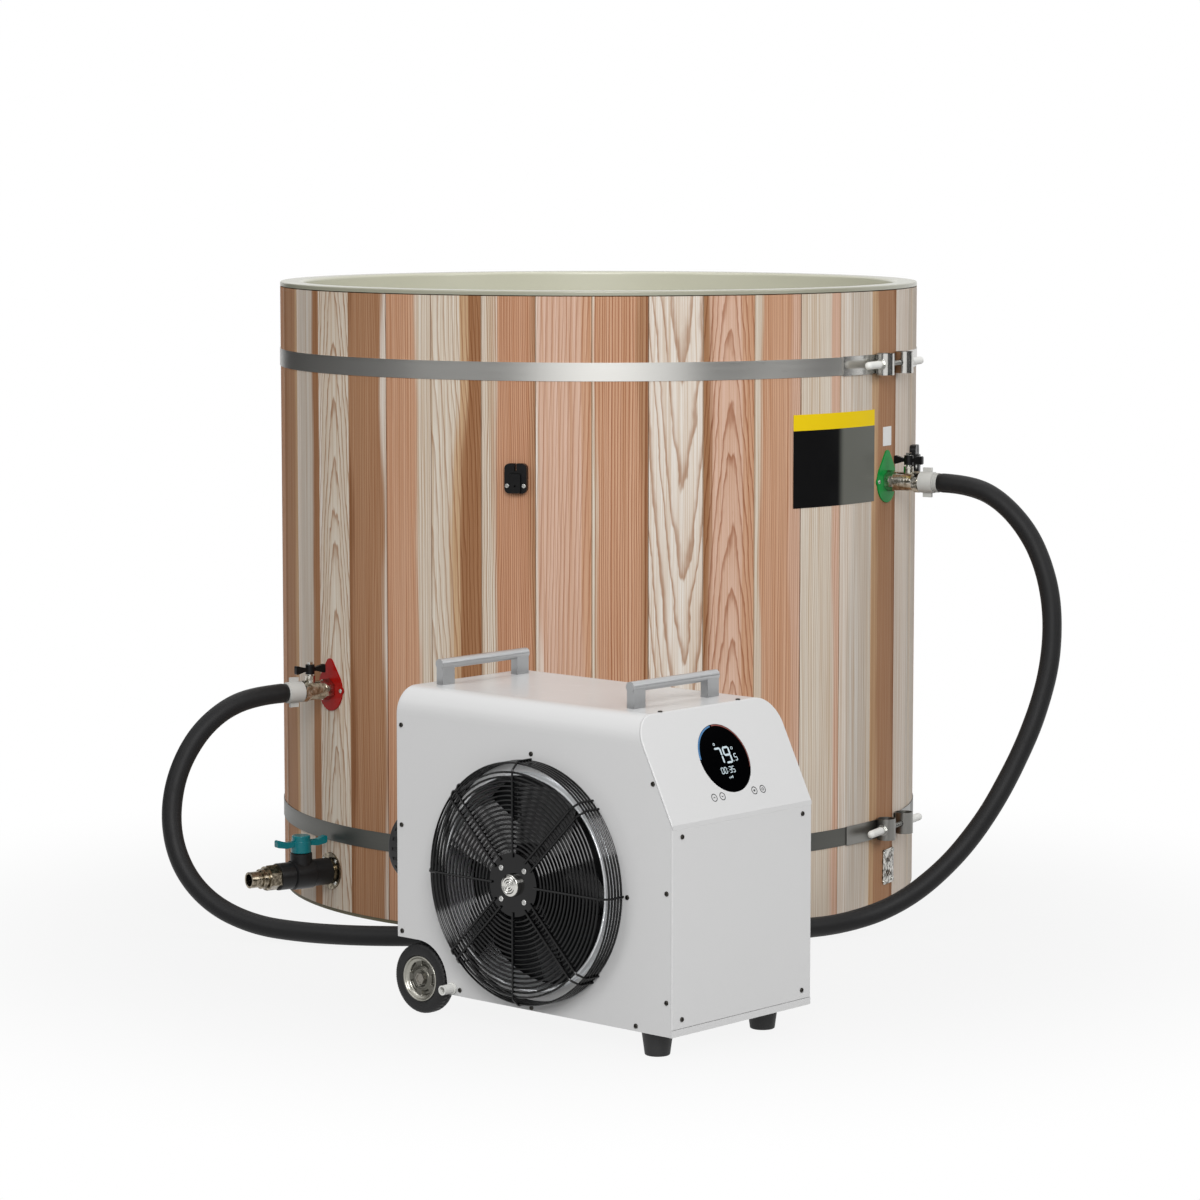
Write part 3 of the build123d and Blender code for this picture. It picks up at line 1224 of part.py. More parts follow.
def fan_grille():
    """Wire guard: a plate for the motor, spokes and rings."""
    plate_bottom = GUARD_HEIGHT - GUARD_PLATE_THICKNESS - GUARD_WIRE + WELD
    plate = upright(GUARD_PLATE_RADIUS, plate_bottom, plate_bottom + GUARD_PLATE_THICKNESS)
    foot = SEAT_GAP
    wires = []
    for turn in range(0, 360, 90):
        wires.append(Rot(0, 0, turn) * spoke(0, foot))
        for side in (-1, 1):
            wires.append(Rot(0, 0, turn + 45) * spoke(side * SPOKE_SPREAD / 2, foot))
    guard = plate.fuse(*wires, *guard_rings())
    hole = Pos(PLATE_SCREW_CIRCLE, 0, 0) * upright(SCREW_RADIUS + BORE_GAP, 0, 2 * GUARD_HEIGHT)
    for turn in range(45, 360, 90):
        guard -= Rot(0, 0, turn) * hole
    guard -= upright(MOTOR_CAP_RADIUS + BORE_GAP, 0, 2 * GUARD_HEIGHT)
    return fan_place() * guard


def plate_top():
    """Height of the outer face of the guard's middle plate above the fan face."""
    return GUARD_HEIGHT - GUARD_WIRE + WELD


def fan_motor():
    """Motor core under the guard's plate, with its bright bearing cap through the plate."""
    top = plate_top() - GUARD_PLATE_THICKNESS - SHAFT_GAP
    core = upright(STATOR_RADIUS, top - STATOR_LENGTH, top)
    cap_top = plate_top() + MOTOR_CAP_HEIGHT
    profile = [(0, top - 1), (MOTOR_CAP_RADIUS, top - 1), (MOTOR_CAP_RADIUS, cap_top), (0, cap_top)]
    cap = turned(profile, [0, 0, 4, 0])
    motor = core + cap - upright(FAN_SHAFT_RADIUS + SHAFT_GAP, top - STATOR_LENGTH - 1, top - 6)
    hole = Pos(PLATE_SCREW_CIRCLE, 0, 0) * upright(SCREW_RADIUS + SHAFT_GAP, top - STATOR_LENGTH / 2, top + 1)
    for turn in range(45, 360, 90):
        motor -= Rot(0, 0, turn) * hole
    return fan_place() * motor


def fan_rotor():
    """Cup that turns about the motor core on a shaft, with broad swept blades."""
    top = plate_top() - GUARD_PLATE_THICKNESS - SHAFT_GAP
    core_bottom = top - STATOR_LENGTH
    inner = STATOR_RADIUS + ROTOR_GAP
    outer = inner + ROTOR_WALL
    floor = core_bottom - ROTOR_GAP
    cup = upright(outer, floor - ROTOR_BACK, top - 6) - upright(inner, floor, top)
    cup += upright(FAN_SHAFT_RADIUS, floor - ROTOR_BACK / 2, top - 8)
    middle = floor - ROTOR_WALL
    reach = BLADE_RADIUS - outer
    plan = make_face(Polyline((0, -0.28 * BLADE_CHORD), (0.45 * BLADE_RADIUS, -0.5 * BLADE_CHORD),
                              (BLADE_RADIUS, -0.42 * BLADE_CHORD), (1.1 * BLADE_RADIUS, 0.1 * BLADE_CHORD),
                              (BLADE_RADIUS, 0.62 * BLADE_CHORD), (0.5 * BLADE_RADIUS, 0.4 * BLADE_CHORD),
                              (0, 0.28 * BLADE_CHORD), close=True))
    plan = Pos(0, 0, -BLADE_CHORD) * extrude(plan, amount=2 * BLADE_CHORD)
    sheet = Rot(BLADE_PITCH, 0, 0) * Box(2 * BLADE_RADIUS, 2 * BLADE_CHORD, BLADE_THICKNESS)
    blade = sheet & plan & tube(BLADE_RADIUS, outer - ROTOR_WALL / 2, -reach, reach)
    rotor = cup
    for index in range(BLADE_COUNT):
        rotor += Pos(0, 0, middle) * Rot(0, 0, index * 360 / BLADE_COUNT) * blade
    return fan_place() * rotor


def condenser_coil():
    """Finned coil behind the fan, standing on the tray, with its tube bends at both ends."""
    pitch = COIL_HEIGHT / COIL_BENDS
    bend_reach = pitch / 4 + COIL_TUBE
    start = WHEEL_X + ARCH_RADIUS + SHEET + bend_reach + COIL_GAP
    bottom = PAN_FLOOR_TOP + SEAT_GAP
    pack = block((start, start + COIL_WIDTH), (COIL_FRONT, COIL_FRONT + COIL_THICKNESS),
                 (bottom, bottom + COIL_HEIGHT))
    middle = COIL_FRONT + COIL_THICKNESS / 2
    for index in range(COIL_BENDS):
        height = bottom + (index + 0.5) * pitch
        for x in (start, start + COIL_WIDTH):
            pack += Pos(x, middle, height) * Torus(pitch / 4, COIL_TUBE)
    return pack


# Other pieces inside the chiller

def foot_plate(x, y, width, depth):
    """Low plate by which a machine stands on the tray."""
    bottom = PAN_FLOOR_TOP + SEAT_GAP
    sides = (x - width / 2, x + width / 2)
    return block(sides, (y - depth / 2, y + depth / 2), (bottom, bottom + MOUNT_PLATE))


def compressor():
    """Domed compressor can on its foot plate."""
    bottom = PAN_FLOOR_TOP + SEAT_GAP
    top = bottom + COMPRESSOR_HEIGHT
    can = turned([(0, bottom + 1), (COMPRESSOR_RADIUS, bottom + 1), (COMPRESSOR_RADIUS, top), (0, top)],
                 [0, 0, 0.6 * COMPRESSOR_RADIUS, 0])
    width = 2 * COMPRESSOR_RADIUS + 6
    return foot_plate(COMPRESSOR_X, COMPRESSOR_Y, width, width) + Pos(COMPRESSOR_X, COMPRESSOR_Y, 0) * can


def heat_exchanger():
    """Upright shell in which the refrigerant cools the water."""
    bottom = PAN_FLOOR_TOP + SEAT_GAP
    top = bottom + EXCHANGER_HEIGHT
    can = turned([(0, bottom + 1), (EXCHANGER_RADIUS, bottom + 1), (EXCHANGER_RADIUS, top), (0, top)],
                 [0, 0, 0.4 * EXCHANGER_RADIUS, 0])
    width = 2 * EXCHANGER_RADIUS + 6
    return foot_plate(EXCHANGER_X, EXCHANGER_Y, width, width) + Pos(EXCHANGER_X, EXCHANGER_Y, 0) * can


def water_pump():
    """Pump that draws water from the tub: a motor lying behind its volute."""
    bottom = PAN_FLOOR_TOP + SEAT_GAP
    axis_z = bottom + PUMP_HEIGHT
    start = PUMP_X - PUMP_LENGTH / 2
    pump = Pos(0, PUMP_Y, axis_z) * rod(PUMP_RADIUS * 0.85, start, start + PUMP_LENGTH)
    pump += Pos(0, PUMP_Y, axis_z) * rod(PUMP_RADIUS, start, start + PUMP_LENGTH / 3)
    pump += block((start, start + PUMP_LENGTH), (PUMP_Y - 15, PUMP_Y + 15), (bottom, axis_z))
    return pump + foot_plate(PUMP_X, PUMP_Y, PUMP_LENGTH, 2 * PUMP_RADIUS)


def filter_housing():
    """Cartridge housing that hangs in the panel at the wheels' end and shows its neck outside."""
    seat = PANEL + SEAT_GAP
    housing = rod(FILTER_RADIUS, -FILTER_NECK, seat + FILTER_LENGTH)
    housing += rod(FILTER_FLANGE, seat, seat + PANEL)
    housing -= rod(FILTER_RADIUS - PANEL, -FILTER_NECK - 1, seat + FILTER_LENGTH - PANEL)
    return Pos(0, FILTER_Y, FILTER_Z) * housing


def filter_cap():
    """Screw cap over the filter's neck, with grip ribs."""
    length = FILTER_CAP_LENGTH
    profile = [(0, LID_GAP), (FILTER_CAP_RADIUS, LID_GAP), (FILTER_CAP_RADIUS, length), (0, length)]
    cap = Rot(0, -90, 0) * turned(profile, [0, 2, 9, 0])
    cap -= rod(FILTER_RADIUS + SHAFT_GAP, -FILTER_NECK - LID_GAP, 1)
    groove_middle = FILTER_CAP_RADIUS + 0.4 * FILTER_CAP_GROOVE
    for turn in range(0, 360, FILTER_CAP_GROOVE_STEP):
        groove = Pos(-length * 0.75, groove_middle, 0) * rod(FILTER_CAP_GROOVE, 0, length * 0.6)
        cap -= Rot(turn, 0, 0) * groove
    return Pos(0, FILTER_Y, FILTER_Z) * cap


def hose_ports():
    """Two stubs on the back, each with a nut, that the hoses push onto."""
    ports = []
    for x in (OUTLET_PORT_X, INLET_PORT_X):
        tip = CASE_DEPTH + PORT_REACH
        nut_start = CASE_DEPTH + SEAT_GAP
        port = cross_rod(SHANK_RADIUS, CASE_DEPTH - PORT_TAIL, nut_start)
        port += cross_rod(PORT_NUT_RADIUS, nut_start, nut_start + PORT_NUT_WIDTH)
        port += cross_rod(HOSE_RADIUS - SEAT_GAP, nut_start, tip)
        port -= cross_rod(SHANK_BORE, CASE_DEPTH - PORT_TAIL - 1, tip + 1)
        ports.append(Pos(x, 0, PORT_Z) * port)
    return group(ports)


def condensate_nozzle():
    """White spigot that lets condensate run off the tray."""
    nozzle = cross_rod(NOZZLE_RADIUS, -NOZZLE_REACH, 4 * SHEET)
    nozzle += cross_rod(NOZZLE_FLANGE, -2 * SHEET - SEAT_GAP, -SEAT_GAP)
    nozzle -= cross_rod(NOZZLE_BORE, -NOZZLE_REACH - 1, 4 * SHEET + 1)
    return Pos(NOZZLE_X, 0, NOZZLE_Z) * nozzle


def power_inlet():
    """Cable gland in the back: its flange nut outside and its locknut end inside."""
    seat = CASE_DEPTH + SEAT_GAP
    section = RegularPolygon(GLAND_NUT_ACROSS / 2, 6, major_radius=False)
    nut = Pos(0, seat, 0) * Rot(-90, 0, 0) * extrude(section, amount=GLAND_REACH / 2)
    dome = cross_rod(GLAND_NUT_ACROSS / 2 - 1.5, seat, seat + GLAND_REACH)
    gland = nut + dome + cross_rod(GLAND_RADIUS, CASE_DEPTH - GLAND_REACH, seat)
    return Pos(GLAND_X, 0, GLAND_Z) * (gland - cross_rod(GLAND_RADIUS / 2, 0, 2 * CASE_DEPTH))


def carrying_handle(x):
    """Bar across the casing's depth on two square posts."""
    middle = CASE_DEPTH / 2
    half = HANDLE_BAR_LENGTH / 2
    bar = Pos(x, middle, HANDLE_BAR_Z) * cross_rod(HANDLE_BAR_RADIUS, -half, half)
    faces = (x - POST_THICKNESS / 2, x + POST_THICKNESS / 2)
    for side in (-1, 1):
        y = middle + side * (POST_GAP + POST_WIDTH) / 2
        bar += block(faces, (y - POST_WIDTH / 2, y + POST_WIDTH / 2),
                     (CASE_TOP + SEAT_GAP, HANDLE_BAR_Z - POST_DROP))
    return bar


def panel_screws():
    """All the casing's screws, and those of the guard's middle plate."""
    screw = cross_screw(4 * PANEL - 2)
    screws = [place * Pos(SHAFT_GAP, 0, 0) * screw for place in screw_places()]
    plate_screw = cross_screw(PLATE_SCREW_REACH, PLATE_SCREW_HEAD)
    for turn in range(45, 360, 90):
        spot = Rot(0, 0, turn) * Pos(PLATE_SCREW_CIRCLE, 0, plate_top() + SHAFT_GAP) * Rot(0, -90, 0)
        screws.append(fan_place() * spot * plate_screw)
    return group(screws)


# Wheels, axle and feet

def wheel():
    """Rubber tyre on a hub with five arc-shaped pockets, its near face at the origin."""
    profile = [(TYRE_INNER, 0), (WHEEL_RADIUS, 0), (WHEEL_RADIUS, WHEEL_WIDTH), (TYRE_INNER, WHEEL_WIDTH)]
    tyre = turned(profile, [2, TYRE_ROUND, TYRE_ROUND, 2])
    web = (WHEEL_WIDTH - HUB_WEB) / 2
    inner = TYRE_INNER - SHAFT_GAP
    hub = tube(inner, inner - 4, 1.5, WHEEL_WIDTH - 1.5) + upright(inner, web, WHEEL_WIDTH - web)
    boss = AXLE_NUT_HEIGHT + 1
    hub += upright(HUB_BOSS, boss, WHEEL_WIDTH - 1)
    for index in range(HUB_POCKETS):
        start = index * 360 / HUB_POCKETS
        hub -= band(HUB_POCKET_INNER, HUB_POCKET_OUTER, web - 1, web + HUB_WEB / 3,
                    start, start + HUB_POCKET_SWEEP)
    hub -= upright(AXLE_RADIUS + SHAFT_GAP, -1, WHEEL_WIDTH + 1)
    return group([tyre, hub])


def front_wheel():
    """Wheel under the fan face."""
    return Pos(WHEEL_X, 0, AXLE_Z) * Rot(-90, 0, 0) * wheel()


def rear_wheel():
    """Wheel under the back."""
    return Pos(WHEEL_X, CASE_DEPTH, AXLE_Z) * Rot(90, 0, 0) * wheel()


def wheel_axle():
    """Steel axle through both wheels and the tray's ears, with a nut at each end."""
    inset = 2.0
    axle = cross_rod(AXLE_RADIUS, inset, CASE_DEPTH - inset)
    section = RegularPolygon(AXLE_NUT_ACROSS / 2, 6, major_radius=False)
    nut_start = 1.0 + SHAFT_GAP
    nut = Rot(-90, 0, 0) * extrude(section, amount=AXLE_NUT_HEIGHT - 2 * SHAFT_GAP)
    nut -= cross_rod(AXLE_RADIUS + SHAFT_GAP, -1, AXLE_NUT_HEIGHT + 1)
    far = CASE_DEPTH - nut_start - AXLE_NUT_HEIGHT + 2 * SHAFT_GAP
    pieces = [axle, Pos(0, nut_start, 0) * nut, Pos(0, far, 0) * nut]
    return Pos(WHEEL_X, 0, AXLE_Z) * group(pieces)


def rubber_feet():
    """Two tapering feet under the display end."""
    height = CASE_BOTTOM - SEAT_GAP
    foot = turned([(0, 0), (FOOT_BOTTOM_RADIUS, 0), (FOOT_TOP_RADIUS, height), (0, height)], [0, 2, 0, 0])
    return group([Pos(FOOT_X, y, 0) * foot for y in (FOOT_INSET, CASE_DEPTH - FOOT_INSET)])


# All sub-parts, by name

def on_wall(azimuth, height, piece):
    """A fitting's piece, put on the tub."""
    return around(azimuth, height) * piece


def hose_end(place, valve_length, ring_length, collar_length, ribbed):
    """The union between a service valve and its hose."""
    return on_wall(*place, hose_union(valve_length, ring_length, collar_length, ribbed))


STAVES, BORED_STAVES = wall_staves()
OUTLET = (OUTLET_AZIMUTH, OUTLET_HEIGHT)
INLET = (INLET_AZIMUTH, INLET_HEIGHT)
DRAIN = (DRAIN_AZIMUTH, DRAIN_HEIGHT)

PARTS = {
    "base_plate": base_plate(),
    "foam_insulation": foam_insulation(),
    "tub_liner": tub_liner(),
    "staves": STAVES,
    "bored_staves": BORED_STAVES,
    "hoop_straps": hoop_straps(),
    "clamp_brackets": clamp_brackets(),
    "clamp_bolts": clamp_bolts(),
    "clamp_nuts": clamp_nuts(),
    "clamp_caps": clamp_caps(),
    "latch_receivers": latch_receivers(),
    "label_panels": label_panels(),
    "vent_plate": vent_plate(),
    "fitting_screws": fitting_screws(),
    "outlet_plate": lobed_plate(*OUTLET),
    "outlet_wall_fitting": on_wall(*OUTLET, wall_fitting(VALVE_START)),
    "outlet_valve_body": on_wall(*OUTLET, service_valve_body(OUTLET_VALVE_LENGTH)),
    "outlet_ball_stem": on_wall(*OUTLET, service_ball_stem()),
    "outlet_handle": on_wall(*OUTLET, butterfly_handle(OUTLET_HANDLE_LENGTH)),
    "outlet_union": hose_end(OUTLET, OUTLET_VALVE_LENGTH, OUTLET_UNION_LENGTH, OUTLET_COLLAR, False),
    "inlet_plate": lobed_plate(*INLET),
    "inlet_wall_fitting": on_wall(*INLET, wall_fitting(VALVE_START)),
    "inlet_valve_body": on_wall(*INLET, service_valve_body(INLET_VALVE_LENGTH)),
    "inlet_ball_stem": on_wall(*INLET, service_ball_stem()),
    "inlet_handle": on_wall(*INLET, butterfly_handle(INLET_HANDLE_LENGTH)),
    "inlet_union": hose_end(INLET, INLET_VALVE_LENGTH, INLET_UNION_LENGTH, INLET_COLLAR, True),
    "drain_flange": drain_flange(),
    "drain_wall_fitting": on_wall(*DRAIN, wall_fitting(DRAIN_START)),
    "drain_valve_body": on_wall(*DRAIN, drain_valve_body()),
    "drain_ball_stem": on_wall(*DRAIN, drain_ball_stem()),
    "drain_handle": on_wall(*DRAIN, drain_handle()),
    "drain_nipple": on_wall(*DRAIN, drain_nipple()),
    "outlet_hose": outlet_hose(),
    "inlet_hose": inlet_hose(),
    "wrap_shell": CHILLER * wrap_shell(),
    "end_panel": CHILLER * end_panel(),
    "display_panel": CHILLER * display_panel(),
    "left_panel": CHILLER * left_panel(),
    "base_pan": CHILLER * base_pan(),
    "display_glass": CHILLER * display_glass(),
    "fan_grille": CHILLER * fan_grille(),
    "fan_motor": CHILLER * fan_motor(),
    "fan_rotor": CHILLER * fan_rotor(),
    "condenser_coil": CHILLER * condenser_coil(),
    "compressor": CHILLER * compressor(),
    "heat_exchanger": CHILLER * heat_exchanger(),
    "water_pump": CHILLER * water_pump(),
    "filter_housing": CHILLER * filter_housing(),
    "filter_cap": CHILLER * filter_cap(),
    "hose_ports": CHILLER * hose_ports(),
    "condensate_nozzle": CHILLER * condensate_nozzle(),
    "power_inlet": CHILLER * power_inlet(),
    "left_handle": CHILLER * carrying_handle(LEFT_HANDLE_X),
    "right_handle": CHILLER * carrying_handle(RIGHT_HANDLE_X),
    "panel_screws": CHILLER * panel_screws(),
    "control_board": CHILLER * control_board(),
    "front_wheel": CHILLER * front_wheel(),
    "rear_wheel": CHILLER * rear_wheel(),
    "wheel_axle": CHILLER * wheel_axle(),
    "rubber_feet": CHILLER * rubber_feet(),
}

os.makedirs("parts", exist_ok=True)
for name, piece in PARTS.items():
    export_step(piece, f"parts/{name}.step")
print(len(PARTS), "sub-parts")
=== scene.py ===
import math

import bpy
import numpy as np
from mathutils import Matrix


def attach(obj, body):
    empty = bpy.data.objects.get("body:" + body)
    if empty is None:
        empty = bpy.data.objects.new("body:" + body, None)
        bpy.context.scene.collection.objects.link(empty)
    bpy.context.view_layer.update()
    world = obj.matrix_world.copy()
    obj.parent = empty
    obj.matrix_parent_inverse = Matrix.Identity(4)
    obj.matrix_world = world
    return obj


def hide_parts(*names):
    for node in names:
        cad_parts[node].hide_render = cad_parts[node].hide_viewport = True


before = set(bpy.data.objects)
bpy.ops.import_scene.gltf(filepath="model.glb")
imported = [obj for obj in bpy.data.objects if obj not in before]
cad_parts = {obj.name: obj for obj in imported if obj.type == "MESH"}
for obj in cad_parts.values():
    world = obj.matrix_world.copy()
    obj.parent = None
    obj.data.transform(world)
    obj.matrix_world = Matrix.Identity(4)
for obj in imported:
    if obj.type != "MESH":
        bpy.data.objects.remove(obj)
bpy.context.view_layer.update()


# Staves.
# Thirty-eight softwood boards stand round the tub, their edges eased. Each is from another part of a log, and
# has its own tone, its own strips of sapwood, and its own straight, curved or arched grain.
class Signal:
    """A value on its way through a material or an effect. Arithmetic on it adds Math nodes to its tree."""

    def __init__(self, tree, socket):
        self.tree = tree
        self.socket = socket

    def math(self, operation, *others):
        made = self.tree.nodes.new("ShaderNodeMath")
        made.operation = operation
        for place, value in enumerate((self, *others)):
            feed(value, made.inputs[place])
        return Signal(self.tree, made.outputs[0])

    def __add__(self, other):
        return self.math("ADD", other)

    def __sub__(self, other):
        return self.math("SUBTRACT", other)

    def __mul__(self, other):
        return self.math("MULTIPLY", other)

    def __truediv__(self, other):
        return self.math("DIVIDE", other)


def feed(value, socket):
    """Links a signal to a socket, or sets a plain value on it."""
    if isinstance(value, Signal):
        value.tree.links.new(value.socket, socket)
    else:
        socket.default_value = value


def outputs_of(tree, kind, inputs, **settings):
    """Adds a node, sets it and feeds it, and gives the signals of all its outputs."""
    made = tree.nodes.new("ShaderNode" + kind)
    for name, value in settings.items():
        setattr(made, name, value)
    for name, value in inputs.items():
        feed(value, made.inputs[name])
    return [Signal(tree, socket) for socket in made.outputs]


def object_place(tree):
    """The point on the piece, in metres, as a vector and as its three parts."""
    point = outputs_of(tree, "TexCoord", {})[3]
    return point, *outputs_of(tree, "SeparateXYZ", {0: point})


def vector(tree, x, y, z):
    """Three signals or numbers as one vector."""
    return outputs_of(tree, "CombineXYZ", {0: x, 1: y, 2: z})[0]


def noise(tree, place, scale=1.0, detail=2.0, roughness=0.5):
    """Soft noise from 0 to 1 at a place."""
    return outputs_of(tree, "TexNoise", {"Vector": place, "Scale": scale, "Detail": detail,
                                         "Roughness": roughness})[0]


def rise(value, low, high):
    """A smooth step from 0 at the low value to 1 at the high one."""
    return outputs_of(value.tree, "MapRange", {"Value": value, "From Min": low, "From Max": high},
                      interpolation_type="SMOOTHSTEP")[0]


def between(value, low, high):
    """Turns a value from 0 to 1 into one from low to high."""
    return value * (high - low) + low


def blend(share, first, second, how="MIX"):
    """Mixes two colours."""
    tree = next(part.tree for part in (share, first, second) if isinstance(part, Signal))
    return outputs_of(tree, "Mix", {0: share, 6: first, 7: second}, data_type="RGBA", blend_type=how)[2]


def tone(red, green, blue):
    """A colour from its values on a screen, 0 to 255."""
    screen = np.array((red, green, blue)) / 255
    light = np.where(screen > 0.04045, ((screen + 0.055) / 1.055) ** 2.4, screen / 12.92)
    return (*light.tolist(), 1.0)


def new_finish(name, **constants):
    """A material, its tree and its Principled shader, with constants on the shader's own sockets."""
    material = bpy.data.materials.new(name)
    material.use_nodes = True
    shader = material.node_tree.nodes["Principled BSDF"]
    for label, value in constants.items():
        shader.inputs[label.replace("_", " ")].default_value = value
    return material, material.node_tree, shader


def bump(tree, height, depth):
    """A normal that follows a height. The depth of the relief is in metres."""
    return outputs_of(tree, "Bump", {"Height": height, "Strength": 1.0, "Distance": depth})[0]


def dress(shader, colour, rough, height, relief):
    """Feeds a colour, a roughness and a relief to a shader. The depth of the relief is in metres."""
    feed(colour, shader.inputs["Base Color"])
    feed(rough, shader.inputs["Roughness"])
    feed(bump(rough.tree, height, relief), shader.inputs["Normal"])


def paint_with(names, material):
    """Gives CAD nodes or pieces a material."""
    for name in names:
        mesh = bpy.data.objects[name].data
        mesh.materials.clear()
        mesh.materials.append(material)


STAVES = 38
STAVE_TURN = 360 / STAVES
FIRST_SEAM = -1.1
STAVE_WIDTH = 0.0885

CREAM = tone(221, 215, 204)
PALE = tone(228, 224, 218)
GREY_CREAM = tone(212, 208, 201)
HONEY = tone(203, 175, 143)
SALMON = tone(208, 169, 142)
PINK = tone(217, 186, 168)
ROSE = tone(204, 162, 134)
TAN = tone(178, 141, 111)
BROWN = tone(162, 121, 88)
UMBER = tone(146, 105, 74)

# Grain: side and depth of the log's heart in metres, how fast the rings taper, and the width of a ring
STRAIGHT = (0.21, 0.06, 0.004, 0.0042)
TIGHT = (-0.19, 0.05, 0.003, 0.0034)
CURVED = (0.075, 0.05, 0.022, 0.0055)
SWEPT = (-0.06, 0.04, 0.03, 0.0062)
ARCHED = (0.004, 0.02, 0.075, 0.0075)
HEARTS = (0.012, 0.014, -0.085, 0.0125)

# Boards from the left of the front to its right: left strip and its share, body and strength of its lines,
# right strip and its share, grain
FRONT_STAVES = (
    (TAN, 0.3, ROSE, 0.5, CREAM, 0.1, STRAIGHT),
    (BROWN, 0.2, TAN, 0.5, HONEY, 0.2, STRAIGHT),
    (PALE, 0.15, GREY_CREAM, 0.3, BROWN, 0.3, TIGHT),
    (PALE, 0.12, CREAM, 0.8, CREAM, 0.0, ARCHED),
    # The pale right strip of the next board is a painted highlight along its edge, not sapwood.
    (UMBER, 0.1, TAN, 0.6, PALE, 0.1, TIGHT),
    (ROSE, 0.12, SALMON, 0.5, CREAM, 0.3, STRAIGHT),
    (CREAM, 0.5, HONEY, 0.6, BROWN, 0.36, SWEPT),
    (CREAM, 0.22, ROSE, 0.9, TAN, 0.16, TIGHT),
    (PALE, 0.06, PINK, 0.5, SALMON, 0.2, CURVED),
    (CREAM, 0.1, SALMON, 0.9, TAN, 0.14, STRAIGHT),
    (PALE, 0.1, PALE, 0.75, CREAM, 0.0, HEARTS),
    (BROWN, 0.12, PINK, 0.75, SALMON, 0.3, ARCHED),
    (CREAM, 0.2, SALMON, 0.5, PINK, 0.2, STRAIGHT),
    (CREAM, 0.1, CREAM, 0.35, PINK, 0.22, TIGHT),
    (PALE, 0.3, GREY_CREAM, 0.3, CREAM, 0.1, STRAIGHT),
    (HONEY, 0.2, TAN, 0.6, UMBER, 0.14, TIGHT),
    (PALE, 0.4, PALE, 0.3, GREY_CREAM, 0.2, STRAIGHT),
    (CREAM, 0.2, GREY_CREAM, 0.4, TAN, 0.1, CURVED),
)
FIRST_FRONT_STAVE = -9

# Factors that bring a grain's numbers into the span from 0 to 1 of a colour ramp
SIDE_FACTOR = 2.0
DEPTH_FACTOR = 5.0
TAPER_FACTOR = 4.0
RING_FACTOR = 80.0


def stave_rows():
    """One row for each stave, counted to the right from the seam at the front. The back repeats the boards
    of the front in another order."""
    rows = {}
    for place in range(STAVES):
        picked = place if place < len(FRONT_STAVES) else (place * 7 + 3) % len(FRONT_STAVES)
        rows[(place + FIRST_FRONT_STAVE) % STAVES] = FRONT_STAVES[picked]
    return [rows[place] for place in range(STAVES)]


def for_each_stave(tree, stave, values):
    """Colour and fourth value that a stave's number picks out of one entry for each stave."""
    half = STAVES // 2
    picked = []
    for start in (0, half):
        ramp = tree.nodes.new("ShaderNodeValToRGB")
        ramp.color_ramp.interpolation = "CONSTANT"
        stops = ramp.color_ramp.elements
        while len(stops) < half:
            stops.new(1.0)
        for place in range(half):
            stops[place].position = place / half
            stops[place].color = values[start + place]
        feed((stave - start + 0.5) / half, ramp.inputs[0])
        picked.append([Signal(tree, socket) for socket in ramp.outputs])
    second = stave.math("GREATER_THAN", half - 0.5)
    colour = blend(second, picked[0][0], picked[1][0])
    fourth = picked[0][1] + (picked[1][1] - picked[0][1]) * second
    return colour, fourth


def tinted(share, colour, tint):
    """Multiplies a colour by a tint, as far as the share says."""
    return blend(share, colour, blend(1.0, colour, (*tint, 1.0), "MULTIPLY"))


